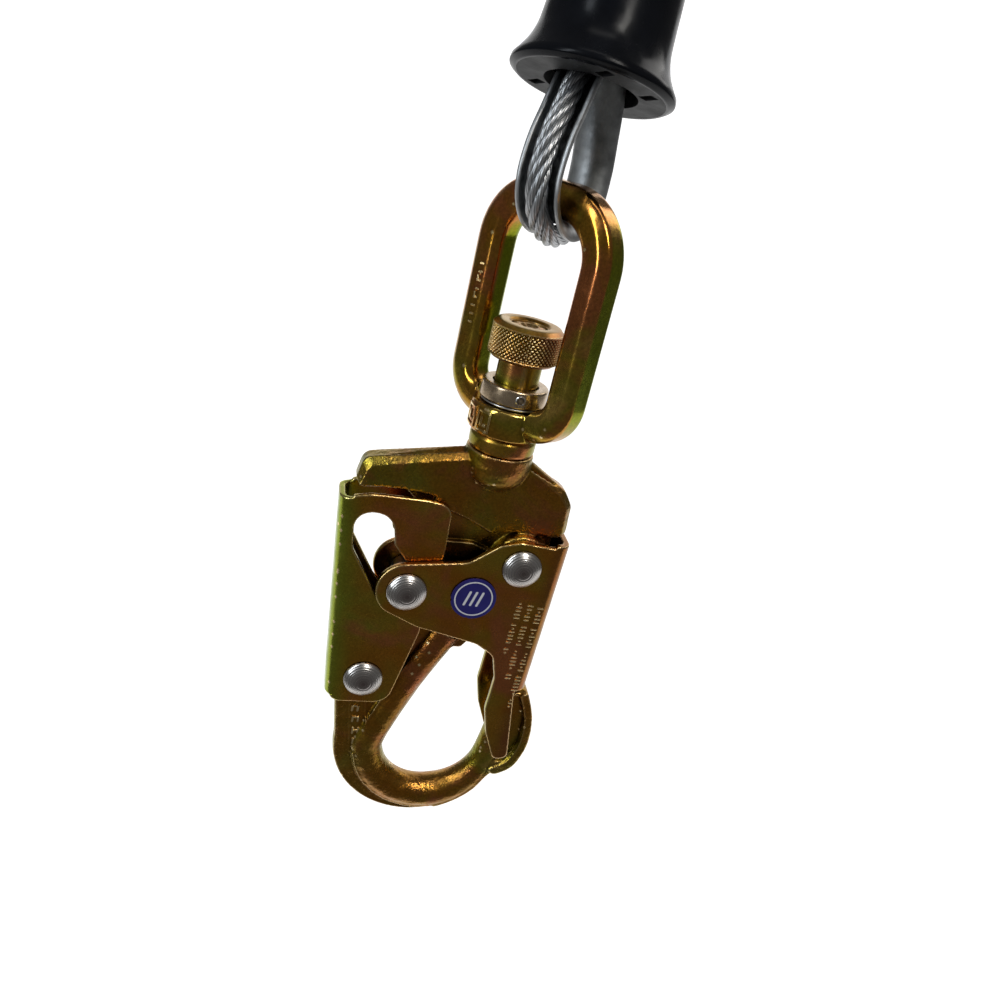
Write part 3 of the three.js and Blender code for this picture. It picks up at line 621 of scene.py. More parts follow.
def rope(path, side):
    """Six twisted strands round a core; each strand shows its outer wires."""
    solids = []
    step = (path[1] - path[0]).length
    around = frames(path, side)
    sides = WIRES * 4
    for k in range(STRANDS):
        middle = []
        for i, (here, x, y) in enumerate(around):
            a = TAU * (i * step / ROPE_LAY + k / STRANDS)
            middle.append(here + (x * cos(a) + y * sin(a)) * STRAND_AT)
        section = []
        for j in range(sides):
            a = TAU * j / sides
            r = STRAND_R * (0.95 + 0.08 * cos(WIRES * a))
            section.append(polar(r, a))
        twist = [-TAU * i * step / WIRE_LAY for i in range(len(path))]
        solids.append(tube(section, middle, side, twist=twist))
    solids.append(tube(circle((0, 0), STRAND_R, 10), path, side))
    return merged(*solids)


def loop_line(top):
    """The eye's centreline, from the top of one leg round the crown to the top of the other."""
    leg = [*LEG, *top]
    crown = arc((0, 0), LOOP_R, -15, -165, 10)
    return [Vector((0, y, z)) for y, z in (*leg[::-1], *crown, *((-y, z) for y, z in leg))]


def cable_eye():
    ends = [(LEG_OFFSET, FERRULE[0] - 1), (LEG_OFFSET, FERRULE[0] + 8), (LEG_OFFSET, CABLE_BREAK)]
    live = [(2.3, CABLE_BREAK + 5), (0.8, CABLE_BREAK + 12), (0, CABLE_BREAK + 19), (0, CORD_FROM - 0.4)]
    line = [Vector((0, y, z)) for y, z in live[::-1]] + loop_line(ends)
    shape = rope(smooth_path(line, ROPE_STEP), Vector((1, 0, 0)))
    piece = mesh_piece("cable_eye_rope", *shape, LOOP, "wire")
    finished(piece, "cable_end", "galvanised", "cable_eye")


# The free stretch starts inside the bumper and runs up into the outlet.
CORD_FROM = 85
STRAIGHT_TO = 150
OUTLET_BEND_R = 70
PLATE_T, BUFFER_T, NOZZLE_H, GAP = 6, 5, 26, 0.3
BUMPER_TOP = 98


def free_cable():
    lean = Vector((CABLE.x, CABLE.y, 0)).normalized()
    bend = acos(CABLE.z)

    def at(z):
        return CROWN / MM + CABLE * z

    line = [at(z) for z in (CORD_FROM, 92, BUMPER_TOP, 105, 112, 119, 126, 132, 138, 144, STRAIGHT_TO)]
    side, rise = OUTLET_BEND_R * (1 - cos(bend)), OUTLET_BEND_R * sin(bend)
    for share in (0.25, 0.5, 0.75, 1):
        left = (1 - share) * bend
        over = lean * (side - OUTLET_BEND_R * (1 - cos(left)))
        line.append(at(STRAIGHT_TO) + over + Vector((0, 0, rise - OUTLET_BEND_R * sin(left))))
    line.append(Vector((0, 0, -PLATE_T - (BUFFER_T + NOZZLE_H / 2) / 2)))
    line.append(Vector((0, 0, -PLATE_T - GAP)))
    path = smooth_path(line, ROPE_STEP)
    piece = mesh_piece("cable_free_rope", *rope(path, ACROSS), SCALE, "wire")
    finished(piece, "cable_end", "galvanised", "cable_free")


free_cable()
cable_eye()


# ---- thimble, ferrule and bumper ----
def thimble():
    half, deep, lip = 5.4, 4.0, 0.55

    def rolled(middle):
        return [(middle + lip * cos(a), lip * 0.6 * sin(a)) for a in np.linspace(pi, TAU, 6)[1:-1]]

    section = [(half * cos(a), deep * sin(a)) for a in np.linspace(0.08, pi - 0.08, 17)]
    section += rolled(-half + lip)
    section += [((half - 2 * lip) * cos(a), (deep - 1.2) * sin(a)) for a in np.linspace(pi, 0, 17)]
    section += rolled(half - lip)
    path = smooth_path(loop_line([]), 0.9)
    verts, faces = tube(section, path, Vector((1, 0, 0)))
    rng = random.Random(5)
    dents = [(rng.uniform(-20, 20), rng.uniform(-14, 26), rng.uniform(-0.06, 0.06)) for _ in range(40)]
    for v in verts:
        v.x += sum(d * exp(-((v.y - y) ** 2 + (v.z - z) ** 2) / 9) for y, z, d in dents)
    made("thimble_channel", (verts, faces), LOOP, "thimble", "cable_end", "galvanised", "thimble", angle=50)


def ferrule():
    """A pressed sleeve of oval section with softened ends and a parting line."""
    rings = []
    low, high = FERRULE
    levels = [(low, 0.78), (low + 0.3, 0.9), (low + 1, 0.98), *((z, 1.0) for z in range(low + 3, high - 2, 3)),
              (high - 1, 0.98), (high - 0.3, 0.9), (high, 0.78)]
    for z, grow in levels:
        ring = []
        for k in range(64):
            a = TAU * k / 64
            seam = 0.12 * exp(-(cos(a) / 0.05) ** 2)
            ring.append(((4.1 * grow + seam) * cos(a), (6.4 * grow + seam) * sin(a), z))
        rings.append(ring)
    made("ferrule_sleeve", lofted(rings), LOOP, "alloy", "cable_end", "ferrule_alloy", "swage_ferrule")


BUMPER_BOTTOM = 19.8
FLANGE_R, BARREL_R, MOUTH_R, CAVITY_R = 18.9, 14.6, 10.8, 9.4
FACE_R, FACE_T = 17.0, 3.0  # of the flat underside


def bumper():
    b = BUMPER_BOTTOM
    flare = [(FLANGE_R - 0.15, b + 1.9), (FLANGE_R - 1.2, b + 3.4), (BARREL_R + 1.5, b + 6.2),
             (BARREL_R + 0.45, b + 9.6), (BARREL_R, b + 14), (BARREL_R - 0.4, b + 22), (BARREL_R - 0.9, b + 32),
             (BARREL_R - 1.25, b + 48), (BARREL_R - 1.6, BUMPER_TOP - 10), (BARREL_R - 2.6, BUMPER_TOP - 3.5),
             (BARREL_R - 4.6, BUMPER_TOP - 0.7), (BARREL_R - 7, BUMPER_TOP)]
    rim = rounded([(FACE_R + 0.04, b, 0), (FLANGE_R - 1.3, b, 0.8), (FLANGE_R, b + 0.8, 0.5),
                   (FLANGE_R - 0.15, b + 1.9, 0)], 18)[:-1]
    inside = [(3.5, BUMPER_TOP), (3.5, BUMPER_TOP - 14), (CAVITY_R, BUMPER_TOP - 18), (CAVITY_R, b + 11),
              (MOUTH_R, b + 9.8), (MOUTH_R, b + FACE_T), (FACE_R + 0.04, b + FACE_T)]
    wall = turned([*rim, *curved(flare, 1.0), *inside], 128)
    made("bumper_moulding", wall, LOOP, "bumper", "bumper", "bumper_black", "bumper_shell", angle=42)
    slots = [core_slot(x, y) for x in (-1, 1) for y in (-1, 1)]
    loops = [circle((0, 0), FACE_R, 128), circle((0, 0), MOUTH_R, 96), *slots]
    place = LOOP @ Matrix.Rotation(radians(-90), 4, "X")
    made("bumper_underside", slab(loops, -b - FACE_T, -b), place, "bumper_face", "bumper", "bumper_black")


def core_slot(x, y):
    """The outline of one of the moulding's four core slots."""
    turn = radians(27)
    c, s = cos(turn), sin(turn)
    cx, cy = 12.2 * x, 6.4 * y
    outline = block(cx - 2.1, cx + 2.1, cy - 1.2, cy + 1.2, 0.3)
    return [(u * c - v * s, -u * s - v * c) for u, v in outline]


def bumper_insert():
    sleeve = turned(block(7.2, 9.1, 30, 62, 0.5), 64)
    made("bumper_sleeve", sleeve, LOOP, "nylon", "bumper", "nylon_dark", "bumper_insert")


thimble()
ferrule()
bumper()
bumper_insert()


# ---- outlet fitting ----
SCREWS_R = 20.5  # of the circle that they stand on


def outlet():
    """The mounting plate, its rubber pad, the cable's guide and four cap screws."""
    top = -PLATE_T - GAP
    t = top - BUFFER_T
    m = t - NOZZLE_H
    plate = rounded([(0, -PLATE_T), (27, -PLATE_T, 0.8), (27, 0, 0.8), (0, 0)], 20)
    made("outlet_disc", turned(plate, 128), OUTLET, "outlet", "cable_end", "outlet_steel", "outlet_plate")
    pad = rounded([(4, t + GAP, 0.4), (25.5, t + GAP, 1.0), (25.5, top, 1.0), (4, top, 0.4)], 20)
    made("outlet_pad", turned(pad, 128), OUTLET, "buffer", "cable_end", "buffer_rubber", "outlet_buffer")
    nozzle = rounded([(3.1, t), (26, t, 0.8), (26, t - 5, 1.2), (16, t - 5, 1.5), (14.2, m + 6, 6),
                      (15.2, m + 2, 1), (13.4, m, 1.4), (9, m + 3.5, 6), (5.6, m + 14, 8), (3.3, m + 24, 2)], 12)
    made("outlet_guide", turned(nozzle, 128), OUTLET, "nylon", "cable_end", "nylon_dark", "outlet_nozzle")
    under = -PLATE_T - BUFFER_T - GAP - 5 - GAP
    head = rounded([(0, under - 1.6), (1.5, under - 1.6), (1.75, under - 3, 0), (3.6, under - 3, 0.7),
                    (3.6, under, 0.2), (2, under, 0), (2, -2.4, 0.3), (0, -2.4)], 20)
    for i in range(4):
        a = TAU * (i + 0.5) / 4
        place = OUTLET @ Matrix.Translation((*polar(SCREWS_R, a), 0))
        verts, faces = turned(head, 48)
        made(f"outlet_cap_screw_{i + 1}", (hexed(verts, 1.9, under - 1.2), faces), place, "rivet", "cable_end",
             "stainless", f"outlet_screw_{i + 1}")


def hexed(verts, within, above):
    """The socket's round wall pulled in to six flats."""
    out = []
    for v in verts:
        r, a = hypot(v.x, v.y), atan2(v.y, v.x)
        if 0.5 < r < within and v.z < above:
            flat = 0.9 * cos(pi / 6) / cos((a % (TAU / 6)) - pi / 6)
            v = Vector((v.x * flat, v.y * flat, v.z))
        out.append(v)
    return out


outlet()


# ---- swivel eye and load indicator ----
EYE_HALF, EYE_TOP, EYE_FOOT = 16.6, 58.35, 6.9
HUB_R, HUB = 9.6, (1.8, 9.3)
STUD_R = 5.4
COLLAR_R, COLLAR = 8.3, (10.3, 14.6)
KNOB_R, KNOB = 8.7, (20.4, 29.4)
PIN_R = 1.35


def swivel_eye():
    frame_line = rounded([(EYE_HALF, EYE_FOOT, 8), (EYE_HALF, EYE_TOP, 13), (-EYE_HALF, EYE_TOP, 13),
                          (-EYE_HALF, EYE_FOOT, 8)], 6)
    line = [(7.4, EYE_FOOT), *frame_line, (-7.4, EYE_FOOT)]
    path = even([Vector((x, 0, z)) for x, z in line], 0.8)
    section = rounded([(-2.7, -3.95, 1.5), (2.7, -3.95, 1.5), (4.15, -1.7, 2.5), (4.15, 4.15, 3.8),
                       (-4.15, 4.15, 3.8), (-4.15, -1.7, 2.5)], 10)
    bar = tube(section, path, Vector((0, 1, 0)))
    hub = turned(rounded([(6.3, HUB[0]), (HUB_R, HUB[0], 0.9), (HUB_R, HUB[1], 0.9), (6.3, HUB[1])], 15), 96)
    piece = forged("swivel_eye_forging", [bar, hub], EYE, "eye", voxel=0.28, rounds=14)
    for v in piece.data.vertices:
        p = (v.co - DATUM) / MM
        if p.z < 2 * HUB[1] and hypot(p.x, p.y) < HUB_R + 0.25:
            v.co.z = DATUM.z + MM * min(max(p.z, HUB[0]), HUB[1])
    finished(piece, "eye", "zinc_yellow", "swivel_eye")
    marks = []
    rng = random.Random(11)
    for k in range(8):
        z = 24.8 + 2.05 * k
        marks.append(bar_mark(rng.uniform(-0.2, 0.2), z, rng.uniform(2.3, 2.9), 0.6, 0.34))
        if k % 3 != 1:
            marks.append(bar_mark(rng.choice((-0.95, 0.95)), z + 0.75, 0.6, 1.5, 0.34))
    side = Matrix.Rotation(radians(22), 4, "Z") @ Matrix.Translation((0, -4.05, 0))
    place = EYE @ Matrix.Translation((-EYE_HALF, 0, 0)) @ side
    made("eye_stamps", merged(*marks), place, "eye", "eye", "zinc_yellow")
    frames_round = []
    for a in (-84, -114):
        for low, high, z0, z1 in ((-12, 12, 2.9, 3.5), (-12, 12, 7.6, 8.2), (-12, -9, 2.9, 8.2), (9, 12, 2.9, 8.2),
                                  (-5, -1, 4.2, 6.6), (1, 6, 4.2, 5.0)):
            frames_round.append(patch(HUB_R - 0.3, HUB_R + 0.32, a + low, a + high, z0, z1))
    pads = mesh_piece("hub_pads", *merged(*frames_round), EYE, "eye")
    modifier(pads, "BEVEL", width=0.14 * MM, segments=3, limit_method="ANGLE")
    finished(crisp(applied(pads), 50), "eye", "zinc_yellow")


def bar_mark(x, z, long, wide, high):
    """A raised rounded stroke on a face towards -Y, its middle at (x, z), lying along X."""
    outline = block(x - long / 2, x + long / 2, z - wide / 2, z + wide / 2, wide / 2)
    n = len(outline)
    verts = [(u, 0.4, v) for u, v in outline] + [(u, -high * 0.5, v) for u, v in outline]
    verts += [(u, -high, v) for u, v in grown(outline, -0.12)]
    return verts, [*band(0, n, n), *band(n, 2 * n, n), tuple(range(n)), tuple(range(2 * n, 3 * n))[::-1]]


def patch(r0, r1, from_deg, to_deg, z0, z1):
    """A piece of a thick-walled tube about Z."""
    verts, faces, steps = [], [], 8
    for i in range(steps + 1):
        a = radians(from_deg + (to_deg - from_deg) * i / steps)
        verts += [(*polar(r, a), z) for r, z in ((r0, z0), (r1, z0), (r1, z1), (r0, z1))]
    for a in range(0, 4 * steps, 4):
        faces += band(a, a + 4, 4)
    faces += [(0, 1, 2, 3), tuple(4 * steps + k for k in (3, 2, 1, 0))]
    return verts, faces


def collar():
    profile = rounded([(STUD_R + 0.3, COLLAR[0], 0.2), (COLLAR_R, COLLAR[0], 0.5), (COLLAR_R, COLLAR[1], 0.7),
                       (STUD_R + 0.3, COLLAR[1], 0.5)], 12)
    made("collar_ring", turned(profile), HOOK, "collar", "collar", "zinc_yellow", "indicator_collar")
    washer = rounded([(STUD_R + 0.3, 9.6, 0.1), (COLLAR_R - 0.4, 9.6, 0.15), (COLLAR_R - 0.4, 10, 0.15),
                      (STUD_R + 0.3, 10, 0.1)], 30)
    made("washer_ring", turned(washer), HOOK, "hidden_steel", "collar", "stainless", "thrust_washer")
    middle = (COLLAR[0] + COLLAR[1]) / 2
    for name, turn, node in (("front", 0, "indicator_pin_front"), ("rear", pi, "indicator_pin_rear")):
        profile = [(0, 5.7), (PIN_R, 5.7), (PIN_R, 8.15), (PIN_R - 0.25, 8.42), (PIN_R - 0.45, 8.42),
                   (PIN_R - 0.5, 8.3), (0.4, 8.36), (0, 8.36)]
        place = HOOK @ Matrix.Translation((0, 0, middle)) @ Matrix.Rotation(turn, 4, "Z") @ FACING
        made(f"pin_end_{name}", turned(profile, 40), place, "collar", "collar", "stainless", node, angle=25)
    end = STUD_R - 0.3
    core = rounded([(0, -end), (PIN_R, -end, 0.2), (PIN_R, end, 0.2), (0, end)], 30)
    made("pin_core", turned(core, 40), crosswise(0, middle), "hidden_steel", "hook", "stainless", "shear_pin_core")


def stud():
    profile = rounded([(0, -11), (4, -11, 0.6), (4, 1.4, 0.2), (STUD_R - 0.5, 1.4, 0.3), (STUD_R - 0.5, 8.6, 0.3),
                       (STUD_R, 8.6, 0.2), (STUD_R, KNOB[0] - GAP, 0.4), (4.2, KNOB[0] - GAP, 0.2),
                       (4.2, KNOB[1] - 0.9, 0.5), (2.6, KNOB[1] - 0.75, 1), (1.2, KNOB[1] - 1.25, 0.8),
                       (0, KNOB[1] - 1.3)], 12)
    verts, faces = turned(profile)
    for v in verts:
        if v.z > KNOB[1] - 3 and hypot(v.x, v.y) > 0.1:
            v.z += 0.14 * sin(2.1 * v.x + 0.7) * cos(1.7 * v.y)
    made("stud_turned", (verts, faces), HOOK, "turned", "hook", "zinc_yellow", "swivel_stud", angle=30)
    stripe = block(STUD_R - 0.2, STUD_R + 0.4, 1.9, 8.3, 0.1)
    made("warning_band", turned(stripe), HOOK, "band", "hook", "indicator_red", "indicator_band")
    ring = rounded([(4.3, -2.7, 0.2), (8.1, -2.7, 0.3), (8.4, -1.9, 0.3), (8.45, 0.6, 0.6), (7.9, 1.5, 0.3),
                    (5.4, 1.5, 0.2), (4.3, 1.1, 0)], 12)
    made("neck_collar", turned(ring), HOOK, "turned", "hook", "zinc_yellow", "neck_ring")


def knob():
    """A knurled nut: crossed grooves leave rows of small diamonds."""
    low, high = KNOB
    band_low, band_high = low + 0.9, high - 1.0
    around, rows, teeth, pitch, depth = 576, 76, 48, 1.15, 0.42
    heights = np.linspace(band_low, band_high, rows)
    outline = [(4.5, low + 0.3), (4.8, low), (KNOB_R - 1.3, low), (KNOB_R - 1.0, low + 0.1),
               (KNOB_R - 0.35, low + 0.75)]
    outline += [(KNOB_R, z) for z in heights]
    outline += [(KNOB_R - 0.3, high - 0.85), (KNOB_R - 0.95, high - 0.12), (KNOB_R - 1.2, high), (5.4, high),
                (5.1, high - 0.12), (4.9, high - 0.55), (4.5, high - 0.6)]
    n = len(outline)
    verts, faces = turned(outline, around)
    for i in range(around):
        for j in range(rows):
            k = i * n + 5 + j
            z = heights[j]
            u = i / around * teeth
            a, b = (u + z / pitch) % 1, (u - z / pitch) % 1
            groove = max(abs(2 * a - 1), abs(2 * b - 1))
            fade = min(1, (z - band_low) / 0.5, (band_high - z) / 0.5)
            keep = (KNOB_R - depth * fade * max(0, groove - 0.18) / 0.82) / KNOB_R
            verts[k] = Vector((verts[k].x * keep, verts[k].y * keep, z))
    made("knob_knurled", (verts, faces), HOOK, "knob", "hook", "zinc_yellow", "indicator_knob", angle=60)


swivel_eye()
collar()
stud()
knob()


# ---- forged hook ----
BOWL, BOWL_R = (-3.5, -95.5), 24.8
MOUTH, MOUTH_BAR_R = (-0.7, -96.5), 18.1
BAR_R = 4.9
LEVER_SWEEP_R = 55.9
BORE_R = 4.2
HEAD_HALF = 3.9  # half the thickness of the head and of the web's ribs
WEB = [
    (-7, -6, 0), (-31.6, -10.8, 2.4), (-32, -14.6, 1.2), (-22, -16.4, 3), (-12.3, -25, 5), (-12.3, -47.8, 4),
    (-21.8, -49.6, 3), (-30.8, -62, 6), (-30.6, -77, 6),
    *arc(BOWL, BOWL_R, 178, 323, 40),
    (19.6, -104.4, 6), (25.4, -101.4, 12), (28.4, -92.5, 22), (27.4, -82, 24), (23.6, -73.2, 3), (16.8, -74.4, 3),
    (17.8, -88, 4),
    *arc(MOUTH, MOUTH_BAR_R, -5, -170, 30),
    (-12.6, -77.5, 8), (-4.8, -62, 1.2), (1.6, -61.8, 1.2), (5.2, -56.4, 2), (8.6, -54.2, 2), (18.9, -34.5, 2),
    (18.9, -24.7, 0.6), (18.4, -15, 3), (16.4, -12.6, 3), (7, -6, 0),
]
PANEL = [(-26.2, -66, 0), (-22.0, -66, 0), (-21.6, -80, 3), (-19.2, -99.2, 0.8), (-23.3, -99.9, 0.8),
         (-25.9, -82, 3)]
POCKET = [(-11.8, -28.8, 1.5), (-2, -28.6, 2), (3.4, -30.5, 1), (2.6, -40, 2), (-1, -47, 1), (-11.4, -46.6, 1)]
NOSE_RECESS = [(17.2, -99.6, 1.5), (22.0, -99.4, 2), (24.9, -91.5, 4), (24.6, -83.5, 4), (21.8, -75.5, 1),
               (18.9, -75.8, 1), (19.6, -88, 3), (16.6, -95.5, 2)]
NOSE_RIM = [(19.6, -104.2, 6), (25.2, -101.2, 12), (28.2, -92.5, 22), (27.2, -82, 24), (23.7, -73.6, 2),
            (21.6, -74.8, 1), (24.9, -82.5, 20), (25.6, -92.3, 18), (22.6, -99.7, 8), (17.6, -101.9, 1)]


def head():
    """The head falls back towards its faces, and ends in an arc round the lever's pivot."""
    rings = []
    for y, back in ((-HEAD_HALF, 1.6), (-2, 0), (2, 0), (HEAD_HALF, 1.6)):
        outline = rounded([(-7, -4 - back), (-33.2 + back, -9.4 - back, 3), (-34.4 + back, -15.2, 1),
                           *arc(LEVER_PIVOT, LEVER_SWEEP_R, 100, 63, 14),
                           (3.2, -24.4, 0), (22.2 - back, -24.2, 1.5), (21.8 - back, -15.4, 3),
                           (19.2 - back, -11.4 - back / 2, 3), (7, -4 - back)])
        rings.append([(x, y, z) for x, z in outline])
    # The inner rings have three more points than the outer ones, so the skin is joined slightly askew.
    verts, faces = lofted(rings)
    caps = []
    for i in (0, len(rings) - 1):
        start = i * len(rings[0])
        caps += [tuple(start + k for k in f) for f in tessellate_polygon([[Vector(v) for v in rings[i]]])]
    return verts, [*faces[2:], *caps]


def hook_bar():
    """The round bar that the ring bears on, thinner towards the nose."""
    line = [(-3.2, -56.8), (-6.5, -63.5), (-12.4, -77), *arc(MOUTH, MOUTH_BAR_R, -178, -14, 14), (18.2, -90),
            (18.4, -81)]
    path = smooth_path([Vector((x, 0, z)) for x, z in line], 0.9)
    verts, faces = tube(circle((0, 0), BAR_R, 32), path, Vector((0, 1, 0)))
    for i, here in enumerate(path):
        share = i / (len(path) - 1)
        keep = 1 - 0.34 * max(0, (share - 0.66) / 0.34)
        for k in range(32):
            v = verts[32 * i + k]
            verts[32 * i + k] = here + (v - here) * keep
    return verts, faces


def hook_body():
    web = rounded(WEB, 8)
    bores = [circle(GATE_PIVOT, BORE_R), circle(LEVER_PIVOT, BORE_R)]
    pocket, panel, recess = rounded(POCKET), rounded(PANEL), rounded(NOSE_RECESS)
    left_head = rounded([(-7, -6.4), (-30.8, -12.0, 3), (-32.0, -15.4, 1),
                         *arc(LEVER_PIVOT, LEVER_SWEEP_R, 99, 74, 10), (-7, -15, 3)])
    boss = rounded([(0, -14.3), (3.6, -13.6, 2), (7.4, -10.6, 3), (8.6, -7, 3), (8.6, -2.9, 0.3), (0, -2.9)], 10)
    gate_boss = rounded([(BORE_R, -5.9), (8.1, -5.9, 1.2), (8.1, 5.9, 1.2), (BORE_R, 5.9)], 20)
    along_y = Matrix.Translation((GATE_PIVOT[0], 0, GATE_PIVOT[1])) @ FACING
    solids = [
        slab([web, *bores], -1.2, 1.2),
        slab([grown(web, -0.15), *bores, pocket], -2.5, 2.5),
        slab([grown(web, -0.7), *bores, pocket, panel, recess], -HEAD_HALF, HEAD_HALF),
        head(),
        slab([left_head], -HEAD_HALF, HEAD_HALF),
        slab([[*arc(LEVER_PIVOT, LEVER_SWEEP_R - 2.5, 80, 61, 8), *arc(LEVER_PIVOT, LEVER_SWEEP_R + 2, 61, 80, 8)]],
             -HEAD_HALF, HEAD_HALF),
        hook_bar(),
        turned(boss, 96),
        turned(gate_boss, 64, along_y),
        slab([rounded(NOSE_RIM)], -4.7, 4.7),
    ]
    piece = forged("hook_forging", solids, HOOK, "forging", voxel=0.28, rounds=9)
    finished(piece, "hook", "zinc_yellow", "hook_body")
    rng = random.Random(3)
    marks = []
    for z in (-84.6, -88.4, -92.2, -96.0):
        middle = -24.3 - (z + 82) * 0.16
        for x in (-0.75, 0.75):
            marks.append(bar_mark(middle + x, z + rng.uniform(-0.2, 0.2), 0.7, rng.uniform(1.5, 2.5), 0.4))
        marks.append(bar_mark(middle, z + rng.choice((-0.8, 0, 0.8)), 1.4, 0.6, 0.4))
    place = HOOK @ Matrix.Translation((0, -2.45, 0))
    made("hook_stamps", merged(*marks), place, "forging", "hook", "zinc_yellow")


# ---- pressed lever and gate ----
def channel(name, outline, holes, fold, half, bend, sheet, span, material):
    """Two plates bent from one sheet and joined by a web along a span of the fold."""
    p0, p1 = (np.array(p, float) for p in fold)
    ahead = (p1 - p0) / np.hypot(*(p1 - p0))
    inward = np.array((-ahead[1], ahead[0]))
    inward *= np.sign(inward @ (np.mean(np.array(outline), 0) - p0))

    def at(t, d):
        """X and Z at a distance along the fold and another inwards from it."""
        return p0 + ahead * t + inward * d

    flat = []
    for point in outline:
        t, d = (np.array(point) - p0) @ ahead, (np.array(point) - p0) @ inward
        folded = span[0] - 1 < t < span[1] and d < bend
        flat.append(tuple(at(t, bend)) if folded else point)
    solids = [slab([flat, *holes], side * half - sheet / 2, side * half + sheet / 2) for side in (-1, 1)]
    inner, rise = bend - sheet, sheet / 2 - bend
    quarter = np.linspace(0, pi / 2, 8)
    arcs = [(bend - r * sin(a), rise + r * cos(a)) for r, angles in ((bend, quarter), (inner, quarter[::-1]))
            for a in angles]
    arcs = [(bend + 0.3, sheet / 2), *arcs, (bend + 0.3, -sheet / 2)]
    for side in (-1, 1):
        rings = []
        for t in np.linspace(span[0], span[1], 12):
            ring = []
            for d, y in arcs:
                x, z = at(t, d)
                ring.append((x, side * (half + y), z))
            rings.append(ring)
        solids.append(lofted(rings))
    corners = [at(span[0], 0), at(span[0], sheet), at(span[1], sheet), at(span[1], 0)]
    solids.append(slab([corners], -half - rise, half + rise))
    return forged(name, solids, HOOK, material, voxel=0.3, rounds=3)


LEVER_MID, LEVER_SHEET = 5.1, 1.6
GATE_MID, GATE_SHEET = 7.1, 1.8
PIVOT_BORE, LOCK_BORE = 2.9, 2.6


def lock_lever():
    outline = rounded([(-37.1, -18.9, 0.8), (-29.9, -17.6, 6), (-16, -17.4, 8), (-9.6, -18.3, 4.6), (-9, -38.6, 0.8),
                       (-14.4, -40.2, 0.8), (-22.2, -31, 1.5), (-24, -22.6, 5), (-33.6, -22.6, 5), (-32.6, -33, 6),
                       (-24.8, -45.6, 5), (-20, -49.8, 3), (-11.4, -49.8, 1), (-11.2, -55.5, 6), (-16.2, -79.6, 5),
                       (-32.3, -80.2, 3.5)], 8)
    piece = channel("lever_pressing", outline, [circle(LEVER_PIVOT, PIVOT_BORE)], LEVER_FOLD,
                    LEVER_MID, 3.4, LEVER_SHEET, (0.7, 60), "lever")
    finished(piece, "lever", "zinc_yellow", "lock_lever")


def gate():
    outline = rounded([*arc(LOCK_PIN, 7.9, 236, 96, 24), (-3, -32.4, 6), (4.4, -26.4, 4), (9.6, -24.9, 4),
                       (20, -25.6, 1.5), (23.1, -24.4, 0.6), (22.42, -45, 8), (21.6, -70, 8), (21.2, -94.4, 1.6),
                       (17.2, -95.2, 2), (13.2, -86, 4), (11.2, -78, 5), (11.6, -67.5, 5), (9.6, -60, 4),
                       (4, -56.6, 5), (-13, -53, 6)], 8)
    outline = [on_gate_fold(p) for p in outline]
    holes = [circle(GATE_PIVOT, PIVOT_BORE), circle(LOCK_PIN, LOCK_BORE)]
    piece = channel("gate_pressing", outline, holes, GATE_FOLD, GATE_MID, 3.6, GATE_SHEET, (0.4, 46.5), "gate")
    finished(piece, "gate", "zinc_yellow", "gate_shell")
    gate_stamps()


def on_gate_fold(point):
    """A point near the gate's fold moved onto it, so that the plate's edge is straight there."""
    (x0, z0), (x1, z1) = GATE_FOLD
    on = x0 + (x1 - x0) * (point[1] - z0) / (z1 - z0)
    return (on, point[1]) if abs(point[0] - on) < 0.25 and z1 - 0.5 < point[1] < z0 - 0.5 else point


def gate_stamps():
    """Three rows of raised strokes and dots, with no lettering."""
    rng = random.Random(8)
    marks = []
    for x0, z0, count in ((18.9, -43.5, 30), (16.0, -43.0, 22), (13.1, -42.6, 15)):
        for k in range(count):
            if k % 7 == 5:
                continue
            z = z0 - 1.12 * k
            x = x0 - 0.036 * (z0 - z)
            long = rng.choice((1.7, 1.7, 1.5, 0.7))
            marks.append(bar_mark(x + rng.uniform(-0.1, 0.1), z, long, 0.42, 0.13))
    place = HOOK @ Matrix.Translation((0, -GATE_MID - GATE_SHEET / 2, 0))
    made("gate_stamps", merged(*marks), place, "gate", "gate", "zinc_yellow")


# ---- rivets, bushes and springs ----
RIVET_R, LOCK_RIVET_R, RIVET_HEAD_R, GROOVE_R = 2.6, 2.3, 5.3, 2.05
SPRING_R, SPRING_WIRE_R, SPRING_TURNS = 5.4, 0.48, 1.9


def rivet(name, at, grip, shank, body, node):
    """A shank with a spun cone at each end, ringed by the tool round a slightly domed middle."""
    dome = [(0, 2.42), (0.9, 2.38), (1.9, 2.24), (2.9, 1.88), (3.8, 1.42), (4.6, 0.86), (5.15, 0.34), (5.3, 0.02)]
    spun = [(r, y - 0.07 * exp(-((r - GROOVE_R) / 0.16) ** 2) + (0.014 * sin(13 * r) if r > 2.3 else 0))
            for r, y in curved(dome, 0.1)]
    upper = [(r, grip + y) for r, y in spun]
    lower = [(r, -grip - y) for r, y in spun]
    profile = [*lower, (RIVET_HEAD_R - 0.15, -grip), (shank, -grip), (shank, grip), (RIVET_HEAD_R - 0.15, grip),
               *upper[::-1]]
    profile[0], profile[-1] = (0, profile[0][1]), (0, profile[-1][1])
    made(name, turned(profile, 72), crosswise(*at), "rivet", body, "stainless", node, angle=40)


def bush(name, at, bore, outer, half, body, node):
    profile = block(bore, outer, -half, half, 0.25)
    made(name, turned(profile, 64), crosswise(*at), "hidden_steel", body, "stainless", node)


